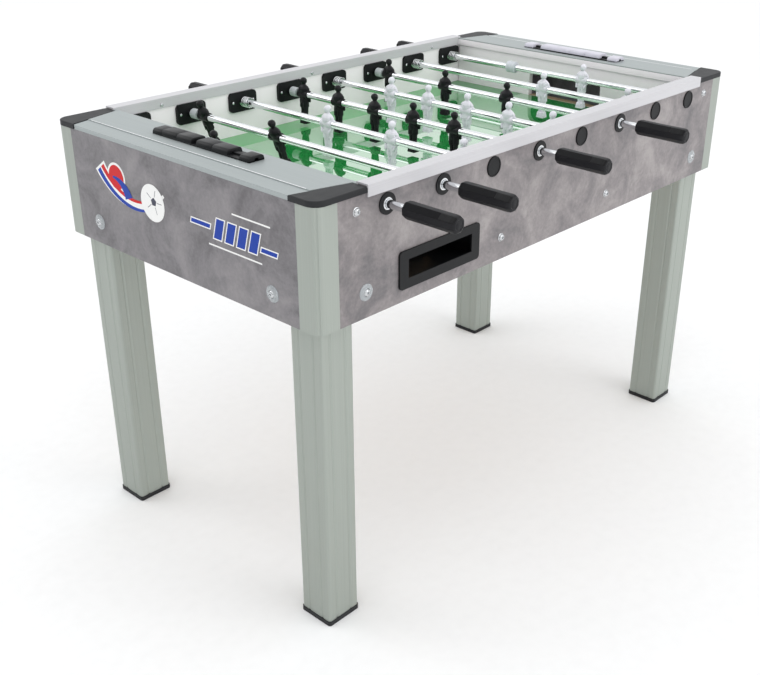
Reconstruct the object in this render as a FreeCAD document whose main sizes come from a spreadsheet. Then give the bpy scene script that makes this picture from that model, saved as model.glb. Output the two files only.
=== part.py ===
"""Foosball table with eight telescopic rods, an aluminium frame and two score bars.

The table stands on the floor at z = 0 with its middle over the origin. X runs along the
table, Y across it and Z up. All sizes are millimetres and live in the sheet named Sizes.
Rods are counted from the end at -X. Dark-team rods carry their handle towards -Y.
"""

import FreeCAD, Part
import os

import Sketcher
from FreeCAD import Placement, Rotation, Vector

SIZES = {
    # cabinet
    "table_length": 1390,
    "table_width": 780,
    "cabinet_base": 670,
    "panel_top": 904,
    "deck_top": 915,
    "panel_thick": 22,
    "goal_face": 572,
    "wall_thick": 15,
    "seat_gap": 0.3,
    # aluminium frame
    "post_face": 50,
    "post_round": 18,
    "flange_thick": 2.1,
    "web_reach": 135,
    "leg_inset": 24.7,
    "leg_side": 81,
    "leg_wall": 3,
    "leg_round": 6,
    "leg_top": 760,
    "foot_high": 10,
    "foot_proud": 1.5,
    "spigot_high": 25,
    "flute_round": 5,
    "flute_depth": 1.2,
    "flute_place": 19,
    "rail_wall": 3,
    "rail_top": 919,
    "rail_lip_base": 896.5,
    "deck_edge": 567,
    "deck_step": 655,
    "step_drop": 1.5,
    # corner caps
    "cap_long": 120,
    "cap_wide": 65,
    "cap_narrow": 34,
    "cap_proud": 2,
    "cap_round": 25,
    # playing field
    "pitch_top": 794,
    "glass_thick": 6,
    "board_thick": 12,
    "mouth_half": 114,
    "mouth_top": 867,
    "mouth_round": 22,
    "beam_place": 191.5,
    "beam_thick": 22,
    "beam_base": 690,
    "port_start": 60,
    "port_end": 170,
    # rods
    "rod_spacing": 150,
    "rod_height": 873,
    "tube_round": 8,
    "guide_round": 5,
    "run_gap": 0.3,
    "grip_gap": 0.05,
    "tube_far": 355.5,
    "tube_near": 545,
    "guide_reach": 110,
    "guide_end": 387.7,
    "bush_round": 14.9,
    "bush_hole": 15.2,
    "collar_round": 20.5,
    "collar_thick": 2.5,
    "plug_thick": 2,
    "flange_wide": 80,
    "flange_high": 46,
    "flange_deep": 7,
    "flange_round": 10,
    "spring_free": 27,
    "spring_round": 11,
    "spring_wire": 1.2,
    "spring_pitch": 5.2,
    "ring_round": 11,
    "ring_long": 22,
    "grip_start": 437,
    "grip_long": 119,
    "grip_round": 16.5,
    "grip_soft": 4,
    # players and stops
    "stop_reach": 315,
    "gap_two": 244,
    "gap_three": 195,
    "gap_five": 120,
    "gap_stop": 227,
    "stop_round": 15,
    "stop_long": 26,
    "second_rod_lean": 20,
    "head_round": 8.5,
    "head_place": 31.5,
    "chest_deep": 12,
    "chest_wide": 17,
    "chest_high": 20,
    "foot_drop": 72,
    "foot_high_part": 18,
    # score bars
    "bar_inner": 590,
    "bar_wide": 37,
    "bar_thick": 3,
    "ridge_wide": 10,
    "ridge_high": 4,
    "block_high": 11,
    "bar_back": 150,
    "bar_front": 143,
    "bar_crown": 7,
    "block_back": 29,
    "block_front": 28,
    "counter_long": 46.5,
    "counter_gap": 0.4,
    "counter_split": 14.5,
    "far_counter_start": 96,
    # ball return
    "outlet_left": 495,
    "outlet_wide": 230,
    "outlet_base": 695.5,
    "outlet_high": 75.5,
    "outlet_border": 24,
    "outlet_sill": 20,
    "outlet_deep": 78,
    "bezel_thick": 4,
    "return_wall": 2.5,
    "tray_floor": 746,
    "tray_rim": 785,
    "tray_half": 140,
    "trough_wide": 58,
    "trough_high": 26,
    "trough_long": 380,
    "trough_start_x": 618,
    "trough_start_y": 76,
    "cup_inset": 6,
    "cup_wall": 3,
    "entry_left": 75,
    "entry_right": 55,
    # fixings
    "post_bolt_inset": 94,
    "end_bolt_inset": 119,
    "low_bolt_rise": 50,
    "beam_bolt_rise": 48,
    "high_bolt_rise": 3,
    "rail_screw_place": 452,
    "rail_screw_drop": 15,
    "hole_play": 0.15,
    "bolt_round": 4,
    "bolt_head": 7.5,
    "bolt_head_high": 4,
    "washer_round": 16.5,
    "washer_thick": 1.5,
    "screw_round": 2,
    "screw_head": 4,
    "screw_head_high": 2.5,
}

ROD_COUNT = 8
HANDLE_IN_FRONT = (1, 2, 4, 6)
PLAYERS = {1: "keeper", 2: "two", 3: "three", 4: "five", 5: "five", 6: "three", 7: "two", 8: "keeper"}
ALONG_Y = Rotation(Vector(1, 0, 0), -90)
ALONG_X = Rotation(Vector(0, 1, 0), 90)
UPRIGHT = Rotation()
HALF_TURN = Rotation(Vector(0, 0, 1), 180)

doc = FreeCAD.newDocument("FoosballTable")
sheet = doc.addObject("Spreadsheet::Sheet", "Sizes")
nodes = []


def fill_sheet():
    """Write every driving size and its alias into the sheet."""
    for row, (alias, size) in enumerate(SIZES.items(), start=1):
        sheet.set(f"A{row}", alias.replace("_", " "))
        sheet.set(f"B{row}", str(size))
        sheet.setAlias(f"B{row}", alias)
    doc.recompute()


def formula(text):
    """Point the size names in a formula at the sheet."""
    words = text.replace("(", " ( ").replace(")", " ) ").split()
    return " ".join(f"Sizes.{word}" if word in SIZES else word for word in words)


def value(text):
    """Work out a formula as a plain number."""
    return float(sheet.evalExpression(formula(text)))


def bind(item, **formulas):
    """Tie properties of a document object to formulas."""
    for name, text in formulas.items():
        item.setExpression(name, formula(text))


def place(item, x="0", y="0", z="0", turn=UPRIGHT):
    """Turn an object and tie its position to formulas."""
    item.Placement = Placement(Vector(), turn)
    for axis, text in zip("xyz", (x, y, z)):
        item.setExpression(f"Placement.Base.{axis}", formula(text))
    return item


def box(name, x, y, z):
    """Box between pairs of formulas, (low, high), on each axis."""
    item = doc.addObject("Part::Box", name)
    spans = [f"( {high} ) - ( {low} )" for low, high in (x, y, z)]
    bind(item, Length=spans[0], Width=spans[1], Height=spans[2])
    return place(item, x[0], y[0], z[0])


def cylinder(name, radius, height, x="0", y="0", z="0", turn=UPRIGHT):
    """Cylinder that starts at a point and runs along Z, or along the turned axis."""
    item = doc.addObject("Part::Cylinder", name)
    bind(item, Radius=radius, Height=height)
    return place(item, x, y, z, turn)


def fuse(name, *items):
    """Join objects into one solid."""
    item = doc.addObject("Part::MultiFuse", name)
    item.Shapes = list(items)
    item.Refine = True
    return item


def cut(name, base, *tools):
    """Take one or more tools away from a base."""
    item = doc.addObject("Part::Cut", name)
    item.Base = base
    item.Tool = tools[0] if len(tools) == 1 else fuse(f"{name}_tools", *tools)
    item.Refine = True
    return item


def common(name, first, second):
    """Keep what two objects share."""
    item = doc.addObject("Part::Common", name)
    item.Base = first
    item.Tool = second
    return item


def mirrored(name, source, normal):
    """Mirror an object across a plane through the origin."""
    item = doc.addObject("Part::Mirroring", name)
    item.Source = source
    item.Normal = normal
    return item


def rounded(name, base, radius, wanted):
    """Fillet the edges of a base that the wanted test picks."""
    doc.recompute()
    size = value(radius)
    edges = [(i, size, size) for i, edge in enumerate(base.Shape.Edges, start=1) if wanted(edge)]
    item = doc.addObject("Part::Fillet", name)
    item.Base = base
    item.Edges = edges
    return item


def upright_edge(edge):
    """True for a straight edge that runs along Z."""
    ends = edge.Vertexes
    return len(ends) == 2 and abs(ends[0].Z - ends[1].Z) > 1 and abs(ends[0].X - ends[1].X) < 1e-6


def edge_along_y(edge):
    """True for a straight edge that runs along Y."""
    ends = edge.Vertexes
    return len(ends) == 2 and abs(ends[0].Y - ends[1].Y) > 1 and abs(ends[0].X - ends[1].X) < 1e-6


def node(name, *items):
    """Collect the solids of one sub-part under the name of its file."""
    item = doc.addObject("Part::Compound", name)
    item.Links = list(items)
    item.Label = name
    nodes.append(item)
    return item


def copy(name, source, x="0", y="0", z="0", turn=UPRIGHT):
    """Repeat a finished piece at another place."""
    item = doc.addObject("App::Link", name)
    item.LinkedObject = source
    item.LinkTransform = True
    return place(item, x, y, z, turn)


def both_ends(name, piece):
    """Sub-part with one piece at each end of the table."""
    return node(name, piece, mirrored(f"{name}_other_end", piece, Vector(1, 0, 0)))


def both_sides(name, piece):
    """Sub-part with one piece at each side of the table."""
    return node(name, piece, mirrored(f"{name}_other_side", piece, Vector(0, 1, 0)))


def four_corners(name, piece):
    """Sub-part with one piece in each corner of the table."""
    across = mirrored(f"{name}_across", piece, Vector(0, 1, 0))
    far = mirrored(f"{name}_far", piece, Vector(1, 0, 0))
    opposite = mirrored(f"{name}_opposite", across, Vector(1, 0, 0))
    return node(name, piece, across, far, opposite)


def turned_pair(name, piece):
    """Sub-part with a piece and the same piece half a turn round the table."""
    return node(name, piece, copy(f"{name}_turned", piece, turn=HALF_TURN))


def sketch_on(body, role, corners):
    """Closed outline on an origin plane of a body, its corners tied to formulas."""
    plane = next(f for f in body.Origin.OriginFeatures if f.Role == role)
    sketch = body.newObject("Sketcher::SketchObject", f"{body.Name}_outline")
    sketch.AttachmentSupport = (plane, [""])
    sketch.MapMode = "FlatFace"
    points = [Vector(value(a), value(b), 0) for a, b in corners]
    for start, end in zip(points, points[1:] + points[:1]):
        sketch.addGeometry(Part.LineSegment(start, end), False)
    for i in range(len(points)):
        sketch.addConstraint(Sketcher.Constraint("Coincident", i - 1 if i else len(points) - 1, 2, i, 1))
    for i, (across, up) in enumerate(corners):
        for kind, text, size in (("DistanceX", across, points[i].x), ("DistanceY", up, points[i].y)):
            number = sketch.addConstraint(Sketcher.Constraint(kind, -1, 1, i, 1, size))
            sketch.setExpression(f"Constraints[{number}]", formula(text))
    return sketch


def padded(name, role, corners, length, backwards=False):
    """PartDesign body: one outline padded by a length."""
    body = doc.addObject("PartDesign::Body", name)
    sketch = sketch_on(body, role, corners)
    pad = body.newObject("PartDesign::Pad", f"{name}_pad")
    pad.Profile = sketch
    pad.setExpression("Length", formula(length))
    pad.Reversed = backwards
    body.Tip = pad
    return body


def rod_place(number):
    """Formula for a rod's place along the table."""
    return f"rod_spacing * {number - (ROD_COUNT + 1) / 2}"


def rod_turn(number):
    """Turn that puts a rod's handle on its own side of the table."""
    return UPRIGHT if number in HANDLE_IN_FRONT else HALF_TURN


def set_on_rod(name, source, number, along="0", lean=0):
    """Place a piece, drawn about the origin, on a rod."""
    side = 1 if number in HANDLE_IN_FRONT else -1
    turn = rod_turn(number).multiply(Rotation(Vector(0, 1, 0), -lean))
    return copy(name, source, rod_place(number), f"{side} * ( {along} )", "rod_height", turn)


# ---------------------------------------------------------------- cabinet


def drill_across(name, radius, x, z):
    """Tool for a hole right through the front side panel."""
    return cylinder(name, radius, "panel_thick + 10", x, "0 - table_width / 2 - 5", z, ALONG_Y)


def rail_screw_places():
    """Places of the screws along a side rail."""
    return ("0 - rail_screw_place", "0", "rail_screw_place")


def side_bolt_places():
    """Places of the bolts through one side panel, as (name, x, z) formulas."""
    places = []
    for label, side in (("left", "-1"), ("right", "1")):
        places.append((f"{label}_low", f"{side} * ( goal_face + wall_thick / 2 )",
                       "cabinet_base + low_bolt_rise"))
        places.append((f"{label}_high", f"{side} * ( table_length / 2 - post_bolt_inset )",
                       "rod_height + high_bolt_rise"))
        places.append((f"{label}_beam", f"{side} * beam_place", "cabinet_base + beam_bolt_rise"))
    return places


def make_side_panels():
    """Long walls: bores for the rods, the ball window and the bolts, raised under the rail."""
    edge = "table_length / 2 - post_face"
    step = "table_length / 2 - cap_long - 0.5"
    crown = "rail_top - rail_wall - seat_gap"
    corners = [(f"0 - ( {edge} )", "cabinet_base"), (edge, "cabinet_base"), (edge, "panel_top"),
               (step, "panel_top"), (step, crown), (f"0 - ( {step} )", crown),
               (f"0 - ( {step} )", "panel_top"), (f"0 - ( {edge} )", "panel_top")]
    blank = padded("side_blank", "XZ_Plane", corners, "panel_thick")
    front = copy("side_front", blank, y="panel_thick - table_width / 2")
    tools = [drill_across(f"bore_{n}", "bush_hole", rod_place(n), "rod_height")
             for n in range(1, ROD_COUNT + 1)]
    for label, x, z in side_bolt_places():
        tools.append(drill_across(f"side_hole_{label}", "bolt_round + hole_play", x, z))
    for i, x in enumerate(rail_screw_places()):
        tools.append(cylinder(f"rail_hole_{i}", "screw_round + 0.1", "20", x,
                              "panel_thick - 10 - table_width / 2", "rail_top - rail_screw_drop", ALONG_Y))
    inset = "( cup_inset - 0.2 )"
    tools.append(box("window_hole", (f"{inset} - outlet_left", f"outlet_wide - outlet_left - {inset}"),
                     ("0 - table_width / 2 - 1", "panel_thick + 1 - table_width / 2"),
                     (f"outlet_base + {inset}", f"outlet_base + outlet_high - {inset}")))
    turned_pair("side_panels", cut("side_panel", front, *tools))


def end_bolt(name, radius, side, start, length):
    """Cylinder on the axis of an end-panel bolt, at the end towards +X."""
    return cylinder(name, radius, length, start, f"{side} * ( table_width / 2 - end_bolt_inset )",
                    "cabinet_base + beam_bolt_rise", ALONG_X)


def make_end_panels():
    """Short walls between the corner posts."""
    blank = box("end_blank", ("table_length / 2 - panel_thick", "table_length / 2"),
                ("post_face - table_width / 2", "table_width / 2 - post_face"),
                ("cabinet_base", "panel_top"))
    holes = [end_bolt(f"end_hole_{i}", "bolt_round + hole_play", side, "table_length / 2 - 40", "50")
             for i, side in enumerate((-1, 1))]
    both_ends("end_panels", cut("end_panel", blank, *holes))


def make_goal_walls():
    """Inner end walls with the goal mouth above and the ball port below the field."""
    low, high = "beam_base", "panel_top"
    reach = "table_width / 2 - panel_thick - rail_wall - 0.6"
    blank = box("goal_blank", ("goal_face", "goal_face + wall_thick"),
                (f"0 - ( {reach} )", reach), (low, high))
    flat_mouth = box("mouth_block", ("goal_face - 5", "goal_face + wall_thick + 5"),
                     ("0 - mouth_half", "mouth_half"), ("pitch_top", "mouth_top"))
    mouth = rounded("mouth_tool", flat_mouth, "mouth_round", top_cross_edge)
    port = box("port_tool", ("goal_face - 5", "goal_face + wall_thick + 5"), ("port_start", "port_end"),
               ("beam_base + 15", "pitch_top - glass_thick - board_thick"))
    ends = [cylinder(f"goal_pilot_{i}", "bolt_round + hole_play", "16", "goal_face + wall_thick / 2", start,
                     "cabinet_base + low_bolt_rise", ALONG_Y)
            for i, start in enumerate((f"( {reach} ) - 15", f"0 - ( {reach} ) - 1"))]
    turned_pair("goal_walls", cut("goal_wall", blank, mouth, port, *ends))


def top_cross_edge(edge):
    """True for the two upper corners of the goal mouth block."""
    ends = edge.Vertexes
    along_x = abs(ends[0].X - ends[1].X) > 1
    return along_x and min(ends[0].Z, ends[1].Z) > value("mouth_top - 1")


def make_pitch():
    """Glass playing surface on its board, and the two beams under it."""
    length = ("seat_gap + 0.7 - goal_face", "goal_face - seat_gap - 0.7")
    width = ("panel_thick + 0.5 - table_width / 2", "table_width / 2 - panel_thick - 0.5")
    board_top = "pitch_top - glass_thick"
    node("pitch_glass", box("glass", length, width, (board_top, "pitch_top")))
    node("pitch_board", box("board", length, width, (f"{board_top} - board_thick", board_top)))
    beam = box("beam_blank", ("beam_place - beam_thick / 2", "beam_place + beam_thick / 2"), width,
               ("beam_base", f"{board_top} - board_thick"))
    pilots = [cylinder(f"beam_pilot_{i}", "bolt_round + hole_play", "16", "beam_place", start,
                       "cabinet_base + beam_bolt_rise", ALONG_Y)
              for i, start in enumerate((f"( {width[1]} ) - 15", f"( {width[0]} ) - 1"))]
    both_ends("cross_beams", cut("beam", beam, *pilots))


# ---------------------------------------------------------------- aluminium frame


def make_corner_posts():
    """Extruded corner posts: a rounded nose, a pocket for the leg and flanges for the bolts."""
    top = ("cabinet_base", "panel_top")
    block = box("post_block", ("table_length / 2 - post_face", "table_length / 2"),
                ("table_width / 2 - post_face", "table_width / 2"), top)
    far = value("table_length / 2"), value("table_width / 2")
    nose = rounded("post_nose", block, "post_round",
                   lambda e: upright_edge(e) and abs(e.Vertexes[0].X - far[0]) < 1
                   and abs(e.Vertexes[0].Y - far[1]) < 1)
    pocket = box("post_pocket",
                 ("table_length / 2 - post_face - 1", "table_length / 2 - leg_inset + seat_gap"),
                 ("table_width / 2 - post_face - 1", "table_width / 2 - leg_inset + seat_gap"),
                 ("cabinet_base - 1", "panel_top + 1"))
    groove_x = "table_length / 2 - post_round * 0.293 + flute_round * 0.5"
    groove_y = "table_width / 2 - post_round * 0.293 + flute_round * 0.5"
    groove = cylinder("post_flute", "flute_round", "panel_top - cabinet_base + 2",
                      groove_x, groove_y, "cabinet_base - 1")
    shell = cut("post_shell", nose, pocket, groove)
    inner_x = "table_length / 2 - leg_inset + seat_gap"
    inner_y = "table_width / 2 - leg_inset + seat_gap"
    side_web = box("side_web", ("goal_face + wall_thick + 1", f"{inner_x} + 1"),
                   (inner_y, f"{inner_y} + flange_thick"), top)
    end_web = box("end_web", (inner_x, f"{inner_x} + flange_thick"),
                  ("table_width / 2 - web_reach", f"{inner_y} + 1"), top)
    side_drill = cylinder("web_hole_side", "bolt_round + hole_play", "40",
                          "table_length / 2 - post_bolt_inset", "table_width / 2 - 40",
                          "rod_height + high_bolt_rise", ALONG_Y)
    end_drill = end_bolt("web_hole_end", "bolt_round + hole_play", 1, "table_length / 2 - 40", "50")
    post = cut("corner_post", fuse("post_body", shell, side_web, end_web), side_drill, end_drill)
    four_corners("corner_posts", post)


def leg_span(middle, half):
    """Pair of formulas for a span about a middle."""
    return (f"( {middle} ) - {half}", f"( {middle} ) + {half}")


def make_legs():
    """Square fluted leg tubes with their plastic feet."""
    middle_x = "table_length / 2 - leg_inset - leg_side / 2"
    middle_y = "table_width / 2 - leg_inset - leg_side / 2"
    outer = box("leg_outer", leg_span(middle_x, "leg_side / 2"), leg_span(middle_y, "leg_side / 2"),
                ("foot_high", "leg_top"))
    soft = rounded("leg_soft", outer, "leg_round", upright_edge)
    hollow = "( leg_side / 2 - leg_wall )"
    inner = box("leg_inner", leg_span(middle_x, hollow), leg_span(middle_y, hollow),
                ("foot_high - 1", "leg_top + 1"))
    reach = "( leg_side / 2 + flute_round - flute_depth )"
    flutes = []
    for i, along in enumerate(("0 - flute_place", "flute_place")):
        for sign in ("-1", "1"):
            for across, x, y in (("x", f"{middle_x} + {sign} * {reach}", f"{middle_y} + {along}"),
                                 ("y", f"{middle_x} + {along}", f"{middle_y} + {sign} * {reach}")):
                name = f"flute_{across}_{i}_{'low' if sign == '-1' else 'high'}"
                flutes.append(cylinder(name, "flute_round", "leg_top", x, y, "foot_high - 1"))
    four_corners("legs", cut("leg", soft, inner, *flutes))
    pad = box("foot_pad", leg_span(middle_x, "( leg_side / 2 + foot_proud )"),
              leg_span(middle_y, "( leg_side / 2 + foot_proud )"), ("0", "foot_high"))
    soft_pad = rounded("foot_soft", pad, "leg_round", upright_edge)
    spigot = box("foot_spigot", leg_span(middle_x, f"( {hollow} - 0.3 )"),
                 leg_span(middle_y, f"( {hollow} - 0.3 )"), ("foot_high - 1", "foot_high + spigot_high"))
    four_corners("leg_feet", fuse("foot", soft_pad, spigot))


def make_side_rails():
    """Channel rails over the long walls, with three screws each inside."""
    step = "table_length / 2 - cap_long - 0.5"
    ends = (f"0 - ( {step} )", step)
    inner = "table_width / 2 - panel_thick - seat_gap"
    outer = "table_width / 2 + seat_gap"
    roof = box("rail_roof", ends, (f"{inner} - rail_wall", f"{outer} + rail_wall"),
               ("rail_top - rail_wall", "rail_top"))
    lips = [box("rail_lip_in", ends, (f"{inner} - rail_wall", inner), ("rail_lip_base", "rail_top")),
            box("rail_lip_out", ends, (outer, f"{outer} + rail_wall"), ("rail_lip_base", "rail_top"))]
    holes = [cylinder(f"lip_hole_{i}", "screw_round + 0.1", "rail_wall + 4", x,
                      f"{inner} - rail_wall - 2", "rail_top - rail_screw_drop", ALONG_Y)
             for i, x in enumerate(rail_screw_places())]
    channel = fuse("rail_channel", roof, *lips)
    crown = rounded("rail_crown", channel, "1.2", rail_crown_edge)
    both_sides("side_rails", cut("side_rail", crown, *holes))


def rail_crown_edge(edge):
    """True for the two long upper edges of a side rail."""
    ends = edge.Vertexes
    long_one = len(ends) == 2 and abs(ends[0].X - ends[1].X) > 100
    return long_one and min(ends[0].Z, ends[1].Z) > value("rail_top - 0.1")


def make_end_rails():
    """Deck over each goal box: flat inner part, a lower outer band and folded edges."""
    end = "table_length / 2"
    cap_x = f"{end} - cap_long"
    inner_y = "table_width / 2 - cap_narrow - 0.5"
    outer_y = "table_width / 2 - cap_wide - 0.5"
    wall_y = "table_width / 2 - panel_thick - rail_wall - 0.6"
    half = [(end, outer_y), (cap_x, inner_y), (f"{cap_x} - 0.5", wall_y), ("deck_edge", wall_y)]
    corners = [(x, f"0 - ( {y} )") for x, y in half] + half[::-1]
    sheet_metal = copy("deck_plate", padded("deck_blank", "XY_Plane", corners, "rail_wall"),
                       z="deck_top - rail_wall")
    band = box("deck_band", ("deck_step", f"{end} + 1"), (f"0 - ( {outer_y} ) - 30", f"{outer_y} + 30"),
               ("deck_top - step_drop", "deck_top + 1"))
    shelf = (f"0 - ( {outer_y} )", outer_y)
    lip_base = "panel_top + seat_gap"
    inner_lip = box("deck_lip_in", ("deck_edge", "deck_edge + rail_wall"), (f"0 - ( {wall_y} )", wall_y),
                    (lip_base, "deck_top - 1"))
    outer_lip = box("deck_lip_out", (f"{end} - rail_wall", end), shelf, (lip_base, "deck_top - 2"))
    plate = cut("deck_stepped", sheet_metal, band)
    both_ends("end_rails", fuse("end_rail", plate, inner_lip, outer_lip))


def make_corner_caps():
    """Tapered plastic caps over the corners."""
    out_x, out_y = "table_length / 2 + cap_proud", "table_width / 2 + cap_proud"
    corners = [(out_x, out_y), ("table_length / 2 - cap_long", out_y),
               ("table_length / 2 - cap_long", "table_width / 2 - cap_narrow"),
               (out_x, "table_width / 2 - cap_wide")]
    slab = copy("cap_slab", padded("cap_blank", "XY_Plane", corners, "deck_top - panel_top - seat_gap"),
                z="panel_top + seat_gap")
    far = value(out_x), value(out_y)
    nose = rounded("cap_nose", slab, "cap_round",
                   lambda e: upright_edge(e) and abs(e.Vertexes[0].X - far[0]) < 1
                   and abs(e.Vertexes[0].Y - far[1]) < 1)
    top = value("deck_top")
    four_corners("corner_caps", rounded("corner_cap", nose, "2.5",
                                        lambda e: all(abs(v.Z - top) < 0.01 for v in e.Vertexes)))


# ---------------------------------------------------------------- ball return


def make_ball_outlets():
    """Framed window in a long wall with the cup that holds the returned balls."""
    face = "0 - table_width / 2"
    left, right = "0 - outlet_left", "outlet_wide - outlet_left"
    base, top = "outlet_base", "outlet_base + outlet_high"
    plate = box("bezel_plate", (left, right), (f"{face} - bezel_thick", face), (base, top))
    bezel = rounded("bezel_soft", plate, "8", edge_along_y)
    body = box("cup_body", (f"{left} + cup_inset", f"{right} - cup_inset"),
               (f"{face} - 1", f"{face} + outlet_deep"), (f"{base} + cup_inset", f"{top} - cup_inset"))
    skin = "cup_inset + cup_wall"
    hollow = box("cup_hollow", (f"{left} + {skin}", f"{right} - ( {skin} )"),
                 (face, f"{face} + outlet_deep - cup_wall"), (f"{base} + {skin}", f"{top} - ( {skin} )"))
    window = box("cup_window", (f"{left} + outlet_border", f"{right} - outlet_border"),
                 (f"{face} - bezel_thick - 1", f"{face} + 1"),
                 (f"{base} + outlet_sill", f"{top} - outlet_sill + 2"))
    entry = box("cup_entry", (f"{left} + entry_left", f"{right} - entry_right"),
                (f"{face} + outlet_deep - cup_wall - 1", f"{face} + outlet_deep + 1"),
                (f"{base} + outlet_sill + 2", f"{top} - ( {skin} )"))
    turned_pair("ball_outlets", cut("ball_outlet", fuse("outlet_body", bezel, body), hollow, window, entry))


def make_ball_returns():
    """Tray behind each goal and the sloping trough that leads to the ball window."""
    end_low, end_high = "panel_thick + 1.5 - table_length / 2", "-1.5 - goal_face - wall_thick"
    wall = "return_wall"
    tray = box("tray_outer", (end_low, end_high), ("0 - tray_half", "tray_half"),
               (f"tray_floor - {wall}", "tray_rim"))
    tray_space = box("tray_space", (f"{end_low} + {wall}", f"{end_high} - {wall}"),
                     (f"{wall} - tray_half", f"tray_half - {wall}"), ("tray_floor", "tray_rim + 5"))
    slope = Rotation(Vector(0, 0, 1), -44.5).multiply(Rotation(Vector(0, 1, 0), 4.4))

    def channel(name, inset, low, high):
        """Box along the trough, narrowed by an inset, between two heights above its floor."""
        item = doc.addObject("Part::Box", name)
        bind(item, Length="trough_long", Width=f"trough_wide - 2 * {inset}", Height=f"{high} - {low}")
        shift = slope.multVec(Vector(0, -value(f"trough_wide / 2 - {inset}"), value(low)))
        return place(item, f"{shift.x} - trough_start_x", f"{shift.y} - trough_start_y",
                     f"{shift.z} + tray_floor + 1", slope)

    trough = channel("trough_outer", "0", f"0 - {wall}", "trough_high")
    trough_space = channel("trough_space", wall, "0", "trough_high + 20")
    whole = cut("return_uncut", fuse("return_outer", tray, trough), tray_space, trough_space)
    keep = box("return_keep", (end_low, "0"), ("0.5 + outlet_deep - table_width / 2", "tray_half"),
               ("cabinet_base", "tray_rim + 1"))
    turned_pair("ball_returns", common("ball_return", whole, keep))


# ---------------------------------------------------------------- rods


def make_rod_masters():
    """Pieces that every rod repeats, drawn about the rod's axis with the handle at -Y."""
    inner = "table_width / 2 - panel_thick"
    outer = "table_width / 2"
    wide = ("0 - flange_wide / 2", "flange_wide / 2")
    high = ("0 - flange_high / 2", "flange_high / 2")

    plate = box("bush_flange", wide, (f"0 - ( {inner} )", f"flange_deep - ( {inner} )"), high)
    soft = rounded("bush_flange_soft", plate, "flange_round", edge_along_y)
    sleeve = cylinder("bush_sleeve", "bush_round", "panel_thick + 2", y=f"-1 - ( {outer} )", turn=ALONG_Y)
    collar = cylinder("bush_collar", "collar_round", "collar_thick",
                      y=f"0 - ( {outer} ) - collar_thick", turn=ALONG_Y)
    bore = cylinder("bush_bore", "tube_round + run_gap", "60",
                    y=f"0 - ( {outer} ) - 10", turn=ALONG_Y)
    bush = cut("bush_master", fuse("bush_body", soft, sleeve, collar), bore)

    far_plate = box("plug_flange", wide, (f"{inner} - flange_deep", inner), high)
    far_soft = rounded("plug_flange_soft", far_plate, "flange_round", edge_along_y)
    far_sleeve = cylinder("plug_sleeve", "bush_round", "panel_thick + 2", y=f"{inner} - 1", turn=ALONG_Y)
    disc = cylinder("plug_disc", "collar_round", "plug_thick", y=outer, turn=ALONG_Y)
    seat = cylinder("plug_seat", "guide_round + run_gap", f"guide_end + 0.3 - ( {inner} - flange_deep - 1 )",
                    y=f"{inner} - flange_deep - 1", turn=ALONG_Y)
    plug = cut("plug_master", fuse("plug_body", far_soft, far_sleeve, disc), seat)

    skin = cylinder("tube_skin", "tube_round", "tube_near + tube_far", y="0 - tube_near", turn=ALONG_Y)
    hollow = cylinder("tube_hollow", "guide_round + run_gap", "tube_near + tube_far + 2",
                      y="-1 - tube_near", turn=ALONG_Y)
    tube = cut("tube_pipe", skin, hollow)
    ring_skin = cylinder("ring_skin", "ring_round", "ring_long", y="tube_far - ring_long", turn=ALONG_Y)
    ring_hole = cylinder("ring_hole", "tube_round + grip_gap", "ring_long + 2",
                         y="tube_far - ring_long - 1", turn=ALONG_Y)
    ring = cut("tube_ring", ring_skin, ring_hole)
    guide = cylinder("guide_master", "guide_round", "guide_reach + guide_end", y="0 - guide_reach",
                     turn=ALONG_Y)

    prism = doc.addObject("Part::Prism", "grip_facets")
    prism.Polygon = 8
    bind(prism, Circumradius="grip_round * 1.04", Height="grip_long")
    place(prism, y="0 - grip_start - grip_long", turn=ALONG_Y)
    barrel = cylinder("grip_barrel", "grip_round", "grip_long", y="0 - grip_start - grip_long", turn=ALONG_Y)
    soft_barrel = rounded("grip_soft_ends", barrel, "grip_soft", lambda e: len(e.Vertexes) == 1)
    grip_bore = cylinder("grip_bore", "tube_round + grip_gap", "tube_near + 0.5 - grip_start + 1",
                         y="-0.5 - tube_near", turn=ALONG_Y)
    grip = cut("grip_master", common("grip_outline", prism, soft_barrel), grip_bore)
    return {"bush": bush, "plug": plug, "tube": tube, "ring": ring, "guide": guide, "grip": grip}


def make_spring():
    """Coil spring between the inner bush flange and the nearest player."""
    turns = value("spring_free - 2 * spring_wire")
    helix = Part.makeHelix(value("spring_pitch"), turns, value("spring_round"))
    section = Part.Wire([Part.makeCircle(value("spring_wire"), Vector(value("spring_round"), 0, 0),
                                         Vector(0, 1, 0))])
    coil = Part.Wire(helix.Edges).makePipeShell([section], True, True)
    spring = doc.addObject("Part::Feature", "spring_master")
    spring.Shape = coil
    start = "panel_thick + flange_deep + spring_wire + 0.1 - table_width / 2"
    return place(spring, y=start, turn=ALONG_Y)


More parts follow.
